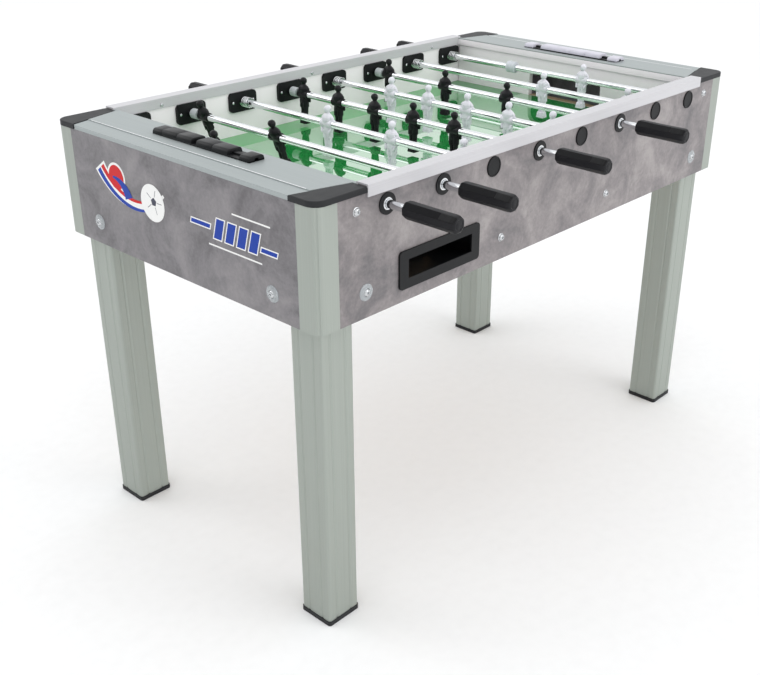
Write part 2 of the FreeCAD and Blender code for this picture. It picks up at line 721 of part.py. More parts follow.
def make_player():
    """Player drawn about the rod's axis, facing +X with the foot down."""
    head = doc.addObject("Part::Sphere", "player_head")
    bind(head, Radius="head_round")
    place(head, z="head_place")
    neck = cylinder("player_neck", "4.5", "head_place - 10", z="10")
    chest = doc.addObject("Part::Ellipsoid", "player_chest")
    bind(chest, Radius1="chest_high", Radius2="chest_deep", Radius3="chest_wide")
    legs = taper("player_legs", (("-6", "6"), ("-7", "7")), (("-10", "10"), ("-12", "12")),
                 "foot_high_part - 2", "foot_drop - 8")
    foot = taper("player_foot", (("-9", "9"), ("-11", "11")), (("-6.5", "6.5"), ("-7.5", "7.5")),
                 "0", "foot_high_part")
    body = fuse("player_body", head, neck, chest, legs, foot)
    hole = cylinder("player_hole", "tube_round + grip_gap", "40", y="-20", turn=ALONG_Y)
    return cut("player_master", body, hole)


def taper(name, low, high, start, stop):
    """Four-sided block from a low outline to a high one, at heights above the foot's sole."""
    item = doc.addObject("Part::Wedge", name)
    # the wedge is drawn along its own Y, which is turned to point up
    bind(item, Xmin=low[1][0], Xmax=low[1][1], Zmin=low[0][0], Zmax=low[0][1],
         X2min=high[1][0], X2max=high[1][1], Z2min=high[0][0], Z2max=high[0][1],
         Ymin=start, Ymax=stop)
    turn = Rotation(Vector(1, 0, 0), Vector(0, 0, 1), Vector(0, 0, 0), "XYZ")
    return place(item, z="0 - foot_drop", turn=turn)


def make_stop():
    """Stop collar of a goalkeeper's rod."""
    skin = cylinder("stop_skin", "stop_round", "stop_long", y="0 - stop_long / 2", turn=ALONG_Y)
    hole = cylinder("stop_hole", "tube_round + grip_gap", "stop_long + 2", y="-1 - stop_long / 2",
                    turn=ALONG_Y)
    return cut("stop_master", skin, hole)


def player_places(kind):
    """Formulas for the players of a rod pushed fully home, from the far side."""
    counts = {"two": 2, "three": 3, "five": 5}
    if kind == "keeper":
        return ["stop_reach - gap_stop"]
    return [f"stop_reach - {i} * gap_{kind}" for i in range(counts[kind])]


def make_rods():
    """Eight rods, with the wall fittings that carry them."""
    master = make_rod_masters()
    master["spring"] = make_spring()
    player, stop = make_player(), make_stop()
    fittings = {"rod_bushes": "bush", "rod_end_plugs": "plug", "rod_springs": "spring"}
    for name, kind in fittings.items():
        node(name, *[set_on_rod(f"{name}_{n}", master[kind], n) for n in range(1, ROD_COUNT + 1)])
    for n in range(1, ROD_COUNT + 1):
        lean = SIZES["second_rod_lean"] if n == 2 else 0
        node(f"rod_{n}_tube", set_on_rod(f"pipe_{n}", master["tube"], n),
             set_on_rod(f"ring_{n}", master["ring"], n))
        node(f"rod_{n}_guide", set_on_rod(f"guide_{n}", master["guide"], n))
        node(f"rod_{n}_handle", set_on_rod(f"grip_{n}", master["grip"], n))
        team = [set_on_rod(f"player_{n}_{i}", player, n, along, lean)
                for i, along in enumerate(player_places(PLAYERS[n]))]
        if PLAYERS[n] == "keeper":
            team += [set_on_rod(f"stop_{n}_{i}", stop, n, along)
                     for i, along in enumerate(("stop_reach", "stop_reach - 2 * gap_stop"))]
        node(f"rod_{n}_figures", *team)


# ---------------------------------------------------------------- score bars


def make_score_bars():
    """Two bars with sliding counters, one on each deck."""
    inner, outer = "0 - bar_inner", "0 - bar_inner - bar_wide"
    middle = "0 - bar_inner - bar_wide / 2"
    base = box("bar_base", (outer, inner), ("0 - bar_front", "bar_back"),
               ("deck_top", "deck_top + bar_thick"))
    ridge = box("bar_ridge", leg_span(middle, "ridge_wide / 2"), ("1 - bar_front", "bar_back - 1"),
                ("deck_top + 1", "deck_top + bar_thick + ridge_high"))
    blocks = [box("bar_block_back", (outer, inner), ("bar_back - block_back", "bar_back"),
                  ("deck_top", "deck_top + block_high")),
              box("bar_block_front", (outer, inner), ("0 - bar_front", "block_front - bar_front"),
                  ("deck_top", "deck_top + block_high"))]
    soft = [rounded(f"{b.Name}_soft", b, "bar_crown", upper_long_edge) for b in blocks]
    both_ends("scorer_rails", fuse("score_bar", base, ridge, *soft))

    low, high = "deck_top + bar_thick + 0.3", "deck_top + block_high + 1.5"
    blank = box("counter_blank", leg_span(middle, "( bar_wide / 2 - 0.4 )"), ("0", "counter_long"),
                (low, high))
    crown = rounded("counter_crown", blank, "bar_crown", upper_long_edge)
    slot = box("counter_slot", leg_span(middle, "( ridge_wide / 2 + 0.4 )"), ("-1", "counter_long + 1"),
               ("deck_top", "deck_top + bar_thick + ridge_high + 0.4"))
    counter = cut("counter_master", crown, slot)
    step = "( counter_long + counter_gap )"
    near_top = "bar_back - block_back - counter_gap"
    far_shape = mirrored("counter_mirrored", counter, Vector(1, 0, 0))
    for i in range(4):
        split = "counter_split" if i > 1 else "0"
        y = f"{near_top} - counter_long - {i} * {step} - {split}"
        node(f"counter_left_{i + 1}", copy(f"left_counter_{i + 1}", counter, y=y))
    for i in range(4):
        y = f"far_counter_start - counter_long - {i} * {step}"
        node(f"counter_right_{i + 1}", copy(f"right_counter_{i + 1}", far_shape, y=y))


def upper_long_edge(edge):
    """True for the two upper edges of a score bar piece that run along Y."""
    return edge_along_y(edge) and edge.Vertexes[0].Z > value("deck_top + bar_thick + ridge_high")


# ---------------------------------------------------------------- fixings


def make_panel_bolts():
    """Bolts of the long and short walls: domed head, washer and shank."""
    face = "0 - table_width / 2"

    def side_bolt(label, x, z):
        """One bolt of the front wall."""
        wide = "washer_round" if label.endswith("_low") else "bolt_head + 1.5"
        washer = cylinder(f"washer_{label}", wide, "washer_thick", x, f"{face} - washer_thick", z, ALONG_Y)
        head = cylinder(f"head_{label}", "bolt_head", "bolt_head_high + 0.2", x,
                        f"{face} - washer_thick - bolt_head_high", z, ALONG_Y)
        domed = rounded(f"dome_{label}", head, "2.5",
                        lambda e: len(e.Vertexes) == 1 and e.Vertexes[0].Y < value(f"{face} - 3"))
        shank = cylinder(f"shank_{label}", "bolt_round", "panel_thick + 12", x, f"{face} - 1", z, ALONG_Y)
        return fuse(f"bolt_{label}", washer, domed, shank)

    front = [side_bolt(*place_of) for place_of in side_bolt_places()]
    back = [copy(f"{bolt.Name}_back", bolt, turn=HALF_TURN) for bolt in front]
    end = "table_length / 2"
    short = []
    for i, side in enumerate((-1, 1)):
        washer = end_bolt(f"end_washer_{i}", "washer_round", side, end, "washer_thick")
        head = end_bolt(f"end_head_{i}", "bolt_head", side, f"{end} + washer_thick - 0.2",
                        "bolt_head_high + 0.2")
        domed = rounded(f"end_dome_{i}", head, "2.5",
                        lambda e: len(e.Vertexes) == 1 and e.Vertexes[0].X > value(f"{end} + 3"))
        shank = end_bolt(f"end_shank_{i}", "bolt_round", side, f"{end} - panel_thick - 8", "panel_thick + 9")
        bolt = fuse(f"end_bolt_{i}", washer, domed, shank)
        short += [bolt, mirrored(f"end_bolt_{i}_far", bolt, Vector(1, 0, 0))]
    node("panel_bolts", *front, *back, *short)


def make_rail_screws():
    """Small screws that hold the side rails from inside."""
    face = "panel_thick + seat_gap + rail_wall - table_width / 2"
    screws = []
    height = "rail_top - rail_screw_drop"
    for i, x in enumerate(rail_screw_places()):
        head = cylinder(f"screw_head_{i}", "screw_head", "screw_head_high", x, face, height, ALONG_Y)
        domed = rounded(f"screw_dome_{i}", head, "1.8",
                        lambda e: len(e.Vertexes) == 1 and e.Vertexes[0].Y > value(f"{face} + 1"))
        shank = cylinder(f"screw_shank_{i}", "screw_round", "12", x, f"{face} - 11", height, ALONG_Y)
        screws.append(fuse(f"rail_screw_{i}", domed, shank))
    across = [mirrored(f"{screw.Name}_across", screw, Vector(0, 1, 0)) for screw in screws]
    node("rail_screws", *screws, *across)


def check_and_write():
    """Stop on any failed object or bad shape, then write one file per sub-part."""
    doc.recompute()
    failed = [o.Name for o in doc.Objects if "Invalid" in o.State or "Error" in o.State]
    if failed:
        raise RuntimeError(f"objects failed: {failed}")
    bad = [n.Label for n in nodes if n.Shape.isNull() or not n.Shape.isValid()]
    if bad:
        raise RuntimeError(f"sub-parts without a sound shape: {bad}")
    os.makedirs("parts", exist_ok=True)
    for item in nodes:
        item.Shape.exportStep(f"parts/{item.Label}.step")
        print(f"{item.Label:20s} solids {len(item.Shape.Solids):2d}  volume {item.Shape.Volume:12.0f}")


fill_sheet()
make_side_panels()
make_end_panels()
make_goal_walls()
make_pitch()
make_corner_posts()
make_legs()
make_side_rails()
make_end_rails()
make_corner_caps()
make_ball_outlets()
make_ball_returns()
make_rods()
make_score_bars()
make_panel_bolts()
make_rail_screws()
check_and_write()
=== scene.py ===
"""Foosball table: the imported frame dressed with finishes, players, grips and small fittings.

Lengths that belong to one piece are written in millimetres and turned to metres by MM.
X runs along the table, Y across it and Z up, with the floor at zero.
"""

import logging
import math
from collections.abc import Iterable, Sequence
from dataclasses import dataclass, field
from enum import Enum

import bmesh
import bpy
from bmesh.types import BMEdge, BMesh, BMFace, BMVert
from bpy.types import Material, Node, NodeSocket, NodeTree, Object
from mathutils import Matrix, Vector


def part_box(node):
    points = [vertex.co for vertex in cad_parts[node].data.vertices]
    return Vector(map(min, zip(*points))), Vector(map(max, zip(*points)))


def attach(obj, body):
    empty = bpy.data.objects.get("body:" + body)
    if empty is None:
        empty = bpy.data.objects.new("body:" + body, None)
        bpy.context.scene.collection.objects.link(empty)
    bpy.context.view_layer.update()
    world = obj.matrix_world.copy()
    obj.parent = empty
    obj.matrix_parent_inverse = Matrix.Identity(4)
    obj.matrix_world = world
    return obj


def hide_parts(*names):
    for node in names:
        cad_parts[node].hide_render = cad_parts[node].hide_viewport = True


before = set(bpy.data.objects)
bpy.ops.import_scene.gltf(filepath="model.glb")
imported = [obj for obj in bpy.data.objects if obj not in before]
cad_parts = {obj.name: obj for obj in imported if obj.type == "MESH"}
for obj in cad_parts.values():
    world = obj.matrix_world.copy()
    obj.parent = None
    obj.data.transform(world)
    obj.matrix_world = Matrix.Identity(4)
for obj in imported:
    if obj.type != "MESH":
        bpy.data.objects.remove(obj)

MM = 0.001
# players, or stops and keeper, on each rod
ROWS = {1: 3, 2: 2, 3: 3, 4: 5, 5: 5, 6: 3, 7: 2, 8: 3}
KEEPER_RODS = (1, 8)
SECOND_ROD_LEAN = 20.0
# radius of the hole for the tube, in millimetres
BORE = 8.05
ALONG_Y = Matrix.Rotation(math.radians(-90), 4, "X")
HALF_TURN = Matrix.Rotation(math.pi, 4, "Z")

log = logging.getLogger("foosball")


class Team(Enum):
    """The two teams, each with the first word of its players' slot."""

    DARK = "dark"
    CLEAR = "clear"


# ---------------------------------------------------------------- finishes


def linear(code: str) -> tuple[float, float, float, float]:
    """Turn an sRGB hex colour to linear light.

    Args:
        code: Six hex digits after a hash sign.

    Returns:
        Red, green, blue and an alpha of one.
    """
    parts = [int(code[i : i + 2], 16) / 255 for i in (1, 3, 5)]
    red, green, blue = (c / 12.92 if c <= 0.04045 else ((c + 0.055) / 1.055) ** 2.4 for c in parts)
    return red, green, blue, 1.0


def add_node(tree: NodeTree, kind: str, inputs: dict | None = None, **settings: object) -> Node:
    """Add a shader node with its settings, values and links.

    Args:
        tree: The tree that gets the node.
        kind: Node type without the ShaderNode prefix.
        inputs: Value or output socket for each named or numbered input.
        **settings: Properties of the node itself.

    Returns:
        The new node.
    """
    node = tree.nodes.new(f"ShaderNode{kind}")
    for name, setting in settings.items():
        setattr(node, name, setting)
    for key, source in (inputs or {}).items():
        if isinstance(source, NodeSocket):
            tree.links.new(source, node.inputs[key])
        else:
            node.inputs[key].default_value = source
    return node


def per_metre(millimetres: float) -> float:
    """Texture scale whose features are about this many millimetres across."""
    return 1 / (millimetres * MM)


def noise(tree: NodeTree, place: NodeSocket, across: float, detail: float, **more: float) -> NodeSocket:
    """Cloudy mask whose features are about this many millimetres across."""
    values = {"Vector": place, "Scale": per_metre(across), "Detail": detail}
    return add_node(tree, "TexNoise", values | more).outputs["Fac"]


def mix(tree: NodeTree, mask: NodeSocket, first: object, second: object) -> NodeSocket:
    """Blend of two colours, the second one where the mask is one."""
    return add_node(tree, "MixRGB", {"Fac": mask, "Color1": first, "Color2": second}).outputs["Color"]


def vary(tree: NodeTree, shader: Node, mask: NodeSocket, low: float, high: float,
         name: str = "Roughness") -> None:
    """Let a mask carry one of the shader's values from low to high."""
    blend = add_node(tree, "MapRange", {"Value": mask, "To Min": low, "To Max": high})
    tree.links.new(blend.outputs["Result"], shader.inputs[name])


def emboss(tree: NodeTree, shader: Node, height: NodeSocket, strength: float, depth: float) -> None:
    """Raise the surface by a mask, to a depth in millimetres."""
    relief = add_node(tree, "Bump", {"Strength": strength, "Distance": depth * MM, "Height": height})
    tree.links.new(relief.outputs["Normal"], shader.inputs["Normal"])


@dataclass(frozen=True)
class Finish:
    """A finish of one colour, and the base of the patterned ones.

    Attributes:
        title: Name of the material and of how its surface was made.
        colour: sRGB hex colour.
        roughness: Roughness of the shader.
        metallic: One for a metal, else zero.
        extras: Further shader sockets and their values.
    """

    title: str
    colour: str
    roughness: float
    metallic: float = 0.0
    extras: tuple[tuple[str, float], ...] = ()

    def material(self) -> Material:
        """Make the material, or find it if it was made before."""
        known = bpy.data.materials.get(self.title)
        if known:
            return known
        material = bpy.data.materials.new(self.title)
        material.use_nodes = True
        tree = material.node_tree
        tree.nodes.clear()
        values = {"Base Color": linear(self.colour), "Metallic": self.metallic, "Roughness": self.roughness}
        shader = add_node(tree, "BsdfPrincipled", values | dict(self.extras))
        add_node(tree, "OutputMaterial", {"Surface": shader.outputs["BSDF"]})
        place = add_node(tree, "TexCoord").outputs["Object"]
        self.dress(tree, shader, place)
        return material

    def dress(self, tree: NodeTree, shader: Node, place: NodeSocket) -> None:
        """Add the pattern; a plain finish varies only a little in colour.

        Args:
            tree: The material's node tree.
            shader: Its principled shader.
            place: Position on the piece, in metres.
        """
        self.tint(tree, shader, noise(tree, place, 30, 4.0), 1.0, 0.94)

    def tint(self, tree: NodeTree, shader: Node, mask: NodeSocket, first: float, second: float) -> None:
        """Vary the finish's colour between two factors of itself."""
        colour = mix(tree, mask, shade(self.colour, first), shade(self.colour, second))
        tree.links.new(colour, shader.inputs["Base Color"])


def shade(code: str, factor: float) -> tuple[float, float, float, float]:
    """Linear colour of a hex code, made darker or lighter by a factor."""
    red, green, blue, alpha = linear(code)
    return red * factor, green * factor, blue * factor, alpha


@dataclass(frozen=True)
class StoneLaminate(Finish):
    """Printed laminate with the clouds and flecks of grey slate.

    Attributes:
        light: Colour of the pale clouds.
        dark: Colour of the dark ones.
        white_within: Faces nearer the table's long axis than this are white melamine, in metres.
    """

    light: str = "#9E9897"
    dark: str = "#696668"
    white_within: float = 0.0

    def dress(self, tree: NodeTree, shader: Node, place: NodeSocket) -> None:
        """Broad clouds, veins between them and fine flecks, then the white inner face."""
        cloud = noise(tree, place, 85, 6.0, Roughness=0.62, Distortion=0.6)
        fleck = noise(tree, place, 7, 5.0, Roughness=0.7)
        blend = add_node(tree, "Math", {0: fleck, 1: 0.32, 2: cloud}, operation="MULTIPLY_ADD")
        ramp = add_node(tree, "ValToRGB", {"Fac": blend.outputs["Value"]})
        stops = ramp.color_ramp.elements
        stops[0].position, stops[0].color = 0.47, linear(self.dark)
        stops[1].position, stops[1].color = 0.86, linear(self.light)
        stops.new(0.64).color = linear(self.colour)
        across = add_node(tree, "SeparateXYZ", {"Vector": place}).outputs["Y"]
        reach = add_node(tree, "Math", {0: across}, operation="ABSOLUTE")
        inside = add_node(tree, "Math", {0: reach.outputs["Value"], 1: self.white_within},
                          operation="LESS_THAN")
        colour = mix(tree, inside.outputs["Value"], ramp.outputs["Color"], linear(WHITE_MELAMINE))
        tree.links.new(colour, shader.inputs["Base Color"])
        emboss(tree, shader, fleck, 0.12, 0.2)


@dataclass(frozen=True)
class DrawnMetal(Finish):
    """Extruded aluminium with the fine lines of its die.

    Attributes:
        grain: Distance between lines in millimetres on X, Y and Z; the long one is the die's direction.
        contrast: How much darker the lines are.
    """

    grain: tuple[float, float, float] = (1.5, 1.5, 400.0)
    contrast: float = 0.9

    def dress(self, tree: NodeTree, shader: Node, place: NodeSocket) -> None:
        """Stretch noise along the die's direction for colour, roughness and relief."""
        stretch = add_node(tree, "Mapping", {"Vector": place, "Scale": [per_metre(g) for g in self.grain]})
        line = noise(tree, stretch.outputs["Vector"], 1 / MM, 3.0)
        self.tint(tree, shader, line, 1.04, self.contrast)
        vary(tree, shader, line, self.roughness - 0.06, self.roughness + 0.08)
        emboss(tree, shader, line, 0.1, 0.05)


@dataclass(frozen=True)
class MouldedPlastic(Finish):
    """Moulded plastic with a spark-eroded grain.

    Attributes:
        grain: Size of the grain in millimetres, drawn coarse enough to show.
        depth: Depth of the grain in millimetres.
    """

    grain: float = 1.2
    depth: float = 0.08

    def dress(self, tree: NodeTree, shader: Node, place: NodeSocket) -> None:
        """Grain in the relief, and handling marks in colour and roughness."""
        wear = noise(tree, place, 18, 4.0)
        self.tint(tree, shader, wear, 0.86, 1.16)
        vary(tree, shader, wear, self.roughness - 0.07, self.roughness + 0.09)
        emboss(tree, shader, noise(tree, place, self.grain, 2.0), 0.25, self.depth)


@dataclass(frozen=True)
class PolishedMetal(Finish):
    """Plated or turned metal, polished a little unevenly."""

    def dress(self, tree: NodeTree, shader: Node, place: NodeSocket) -> None:
        """Vary the polish a little, as on a bar that hands have worn."""
        wear = noise(tree, place, 60, 2.0)
        vary(tree, shader, wear, max(self.roughness - 0.02, 0.02), self.roughness + 0.03)


@dataclass(frozen=True)
class PitchPrint(Finish):
    """Green field printed on the back of polished glass; its side bands and corner zones are painted shade,
    standing in for the light on the field's banked edges.

    Attributes:
        band: Painted shade: colour of the stripe beside each long wall, for the banked strip there.
        corner: Painted shade: colour of the four corner zones, for the banked corners.
        line: Colour of the field's markings.
        end: Half the length of the field, in metres, as are the sizes below.
        band_from: Distance from the long axis at which the side bands start.
        corner_from: Distances along X and Y at which the corner zones start.
        circle: Radius of the middle circle.
        spot: Radius of the kick-off spot.
        line_wide: Width of a marking.
        goal_zones: Depth and half width of the two boxes before each goal.
    """

    # painted shade: the band and corner colours stand in for the light on the field's banked edges
    band: str = "#3BAA54"
    corner: str = "#0F8435"
    line: str = "#0E7A34"
    end: float = 0.571
    band_from: float = 0.283
    corner_from: tuple[float, float] = (0.478, 0.135)
    circle: float = 0.11
    spot: float = 0.009
    line_wide: float = 0.006
    goal_zones: tuple[tuple[float, float], ...] = ((0.215, 0.225), (0.105, 0.145))

    def dress(self, tree: NodeTree, shader: Node, place: NodeSocket) -> None:
        """Lay the side bands and corner zones of painted shade, and the printed markings, over the ground
        colour.
        """
        axes = add_node(tree, "SeparateXYZ", {"Vector": place})
        flat = add_node(tree, "CombineXYZ", {"X": axes.outputs["X"], "Y": axes.outputs["Y"], "Z": 0.0})
        centre = add_node(tree, "VectorMath", {0: flat.outputs["Vector"]}, operation="LENGTH")
        radius = centre.outputs["Value"]

        def test(operation: str, first: NodeSocket, second: float | NodeSocket = 0.0,
                 third: float = 0.0) -> NodeSocket:
            """One comparison or product of the mask."""
            node = add_node(tree, "Math", {0: first, 1: second, 2: third}, operation=operation)
            return node.outputs["Value"]

        along, across = (test("ABSOLUTE", axes.outputs[axis]) for axis in ("X", "Y"))

        def zone(depth: float, half: float) -> NodeSocket:
            """Mask of a rectangle in front of each goal."""
            return test("MULTIPLY", test("GREATER_THAN", along, self.end - depth),
                        test("LESS_THAN", across, half))

        layer = mix(tree, noise(tree, place, 60, 3.0), linear(self.colour), shade(self.colour, 0.93))
        # masks of the painted shade on the side bands and the corner zones
        bands = test("GREATER_THAN", across, self.band_from)
        corners = test("MULTIPLY", *(test("GREATER_THAN", axis, start)
                                     for axis, start in zip((along, across), self.corner_from)))
        # the circle is drawn a little wider than the other lines, and the middle line narrower
        lines = [test("COMPARE", radius, self.circle, 0.0035), test("LESS_THAN", along, 0.0025),
                 test("LESS_THAN", radius, self.spot)]
        lines += [test("SUBTRACT", zone(depth, half), zone(depth - self.line_wide, half - self.line_wide))
                  for depth, half in self.goal_zones]
        for mask, colour in [(bands, self.band), (corners, self.corner)] + [(m, self.line) for m in lines]:
            layer = mix(tree, mask, layer, linear(colour))
        tree.links.new(layer, shader.inputs["Base Color"])
        # the coat is thinner on the bands and corners of painted shade, so they mirror less than the ground
        banked_shade_zones = test("MAXIMUM", bands, corners)
        vary(tree, shader, banked_shade_zones, 1.0, 0.2, "Coat Weight")
        vary(tree, shader, banked_shade_zones, self.roughness, 0.3)


@dataclass(frozen=True)
class ParticleBoard(Finish):
    """Raw fibreboard with pressed fibres."""

    def dress(self, tree: NodeTree, shader: Node, place: NodeSocket) -> None:
        """Short fibres in colour and relief."""
        fibre = noise(tree, place, 2.5, 6.0)
        self.tint(tree, shader, fibre, 0.75, 1.25)
        emboss(tree, shader, fibre, 0.3, 0.1)


# painted light: a faint pink tint that cancels the green light the pitch throws onto the white faces
WHITE_MELAMINE = "#FFF8FC"
# little shine, so that dark and saturated colours keep their depth
DULL = (("Specular IOR Level", 0.22),)

# high-pressure laminate, printed: cloudy stone with a faint satin sheen
SIDE_LAMINATE = StoneLaminate("laminate_stone_side", "#827C7D", 0.42, white_within=0.3685)
# painted shade: the end panels take a darker copy of the side laminate, for the shade on the table's ends
END_LAMINATE_SHADED = StoneLaminate("laminate_stone_end_painted_shade", "#787578", 0.46, light="#8D898B", dark="#605D60")
# melamine-faced board, pressed: even white that lightens the inside of the table
MELAMINE = Finish("melamine_white_pressed", WHITE_MELAMINE, 0.38)
# float glass printed on its back: deep colour under a mirror-like face
PITCH = PitchPrint("glass_printed_polished", "#2AA84F", 0.02,
                   extras=(("IOR", 2.3), ("Coat Roughness", 0.015), ("Coat IOR", 3.4)))
# medium-density fibreboard, sawn: dull brown where it shows from below
BOARD = ParticleBoard("fibreboard_sawn", "#A98D68", 0.85)
# aluminium, extruded and anodised satin: upright lines and a soft grey-green sheen
UPRIGHT_ALUMINIUM = DrawnMetal("aluminium_anodised_upright", "#A9AFA8", 0.5, 0.6)
# aluminium, extruded and anodised: lines along the table
RAIL_ALUMINIUM = DrawnMetal("aluminium_anodised_rail", "#CECDD0", 0.45, 0.15, grain=(400.0, 1.5, 1.5))
# aluminium sheet, folded and brushed across the table
DECK_ALUMINIUM = DrawnMetal("aluminium_brushed_deck", "#A7AEAE", 0.5, 0.3, grain=(1.5, 400.0, 1.5))
# glass-filled nylon, moulded: charcoal with a fine grain
CHARCOAL = MouldedPlastic("nylon_moulded_charcoal", "#2A2B2D", 0.5, extras=DULL)
# polypropylene, moulded: neutral grey inside the goals
GREY_PLASTIC = MouldedPlastic("polypropylene_moulded_grey", "#8D9193", 0.5)
# acetal, turned: close to black with a low sheen
BUSH_BLACK = MouldedPlastic("acetal_turned_black", "#141517", 0.42, grain=0.9, extras=DULL)
# spring wire, nickel plated
SPRING_STEEL = PolishedMetal("steel_spring_nickel", "#D9DADB", 0.16, 1.0)
# steel tube, chrome plated: near-mirror
CHROME = PolishedMetal("steel_tube_chrome", "#E4E6E8", 0.07, 1.0)
# aluminium, painted highlight: a light line along the step of each end deck, where the step catches the
# light
DECK_STEP_HIGHLIGHT = PolishedMetal("aluminium_bead_painted_highlight", "#EDEEEF", 0.3, 0.6)
# steel, zinc plated: duller than the chrome
BOLT_STEEL = PolishedMetal("steel_bolt_zinc", "#C9CBCD", 0.24, 1.0)
# soft polyvinyl, moulded over the tube: black with a velvety grain
GRIP_BLACK = MouldedPlastic("vinyl_moulded_grip", "#1B1B1E", 0.47, grain=1.6, depth=0.12, extras=DULL)
# polyamide, moulded: solid black players with a waxy sheen
DARK_NYLON = MouldedPlastic("polyamide_moulded_black", "#17171A", 0.34, grain=0.8, depth=0.03,
                            extras=DULL)
# polyamide, moulded clear: milky players that let some light through
CLEAR_NYLON = MouldedPlastic("polyamide_moulded_clear", "#F4F3FB", 0.28, grain=0.8, depth=0.03,
                             extras=(("Transmission Weight", 0.15), ("IOR", 1.53)))
# silicone rubber, moulded: frosted stops
STOP_RUBBER = MouldedPlastic("silicone_moulded_frosted", "#E4E8EE", 0.4, grain=0.8, depth=0.03,
                             extras=(("Transmission Weight", 0.25), ("IOR", 1.43)))
# styrene, moulded: score counters of the near and the far end
COUNTER_BLACK = MouldedPlastic("styrene_moulded_black", "#17181A", 0.36, extras=DULL)
COUNTER_PALE = MouldedPlastic("styrene_moulded_pale", "#CFCDD8", 0.36)
# polycarbonate, moulded clear: cup washers that show the laminate under them
CLEAR_WASHER = Finish("polycarbonate_moulded_clear", "#DADFE2", 0.18,
                      extras=(("Transmission Weight", 0.55), ("IOR", 1.58)))
# elastomer ring that softens the stroke of the rod
BUFFER_GREY = MouldedPlastic("elastomer_moulded_grey", "#C3C8CA", 0.5)
# birch plywood edge, sanded, at the mouth of the goal
PLY_EDGE = ParticleBoard("plywood_edge_sanded", "#A39074", 0.6)
# cast vinyl film, printed: flat opaque colour with a light gloss
FILM_WHITE = Finish("vinyl_film_white", "#F3F3F1", 0.3)
FILM_RED = Finish("vinyl_film_red", "#CE141B", 0.4, extras=DULL)
FILM_BLUE = Finish("vinyl_film_blue", "#0C3CA4", 0.4, extras=DULL)
FILM_INK = Finish("vinyl_film_ink", "#1D2440", 0.3)

NODE_FINISHES: dict[str, Finish] = {
    "side_panels": SIDE_LAMINATE, "end_panels": END_LAMINATE_SHADED, "goal_walls": MELAMINE,
    "pitch_glass": PITCH, "pitch_board": BOARD, "cross_beams": BOARD,
    "corner_posts": UPRIGHT_ALUMINIUM, "legs": UPRIGHT_ALUMINIUM, "leg_feet": CHARCOAL,
    "side_rails": RAIL_ALUMINIUM, "end_rails": DECK_ALUMINIUM, "corner_caps": CHARCOAL,
    "ball_outlets": BUSH_BLACK, "ball_returns": GREY_PLASTIC, "rod_bushes": BUSH_BLACK,
    "rod_end_plugs": BUSH_BLACK, "rod_springs": SPRING_STEEL, "scorer_rails": COUNTER_BLACK,
    "panel_bolts": BOLT_STEEL, "rail_screws": BOLT_STEEL,
}


# ---------------------------------------------------------------- mesh helpers


def at(x: float, y: float, z: float) -> Vector:
    """Point given in millimetres, in metres."""
    return Vector((x, y, z)) * MM


def quarter(axis: str, turns: int) -> Matrix:
    """Matrix of some quarter turns about an axis."""
    return Matrix.Rotation(math.radians(90 * turns), 4, axis)


@dataclass(frozen=True)
class Ring:
    """One cross-section of an upright form, in millimetres.

    Attributes:
        height: Place along Z.
        deep: Half its size along X.
        wide: Half its size along Y.
        ahead: Shift along X.
        aside: Shift along Y.
    """

    height: float
    deep: float
    wide: float
    ahead: float = 0.0
    aside: float = 0.0

    def frame(self) -> Matrix:
        """Matrix that carries a unit circle onto the ring, in metres."""
        place = Matrix.Translation(at(self.ahead, self.aside, self.height))
        return place @ Matrix.Diagonal((self.deep * MM, self.wide * MM, 1.0, 1.0))


def loft(mesh: BMesh, rings: Sequence[Ring], segments: int = 20) -> None:
    """Grow a closed form from a circle, one extrusion for each further ring.

    Args:
        mesh: The mesh that gets the form.
        rings: Cross-sections from one end to the other.
        segments: Sides of the circle.
    """
    frames = [ring.frame() for ring in rings]
    made = bmesh.ops.create_circle(mesh, cap_ends=True, segments=segments, radius=1.0,
                                   matrix=frames[0])["verts"]
    face = made[0].link_faces[0]
    for before, after in zip(frames, frames[1:]):
        grown = bmesh.ops.extrude_face_region(mesh, geom=[face])["geom"]
        face = next(item for item in grown if isinstance(item, BMFace))
        rim = [item for item in grown if isinstance(item, BMVert)]
        bmesh.ops.transform(mesh, matrix=after @ before.inverted(), verts=rim)


def turned(mesh: BMesh, profile: Sequence[tuple[float, float]], place: Matrix = Matrix(),
           steps: int = 28) -> None:
    """Spin a closed outline about the Z axis.

    Args:
        mesh: The mesh that gets the form.
        profile: Radius and height of each corner, in millimetres.
        place: Where the turned form goes.
        steps: Steps of the full turn.
    """
    corners = [mesh.verts.new(Vector((radius, 0, height)) * MM) for radius, height in profile]
    edges = [mesh.edges.new((a, b)) for a, b in zip(corners, corners[1:] + corners[:1])]
    known = set(mesh.verts) - set(corners)
    bmesh.ops.spin(mesh, geom=corners + edges, cent=(0, 0, 0), axis=(0, 0, 1), dvec=(0, 0, 0),
                   angle=2 * math.pi, steps=steps, use_merge=True)
    made = [vert for vert in mesh.verts if vert not in known]
    bmesh.ops.transform(mesh, matrix=place, verts=made)


def rise(mesh: BMesh, faces: Iterable[BMFace], by: Vector) -> None:
    """Push flat faces out into a solid."""
    grown = bmesh.ops.extrude_face_region(mesh, geom=list(faces))["geom"]
    bmesh.ops.translate(mesh, vec=by, verts=[item for item in grown if isinstance(item, BMVert)])


def round_off(mesh: BMesh, edges: Iterable[BMEdge], radius: float, segments: int = 3) -> None:
    """Round edges to a radius in metres."""
    bmesh.ops.bevel(mesh, geom=list(edges), offset=radius, affect="EDGES", segments=segments, profile=0.5,
                    material=-1)


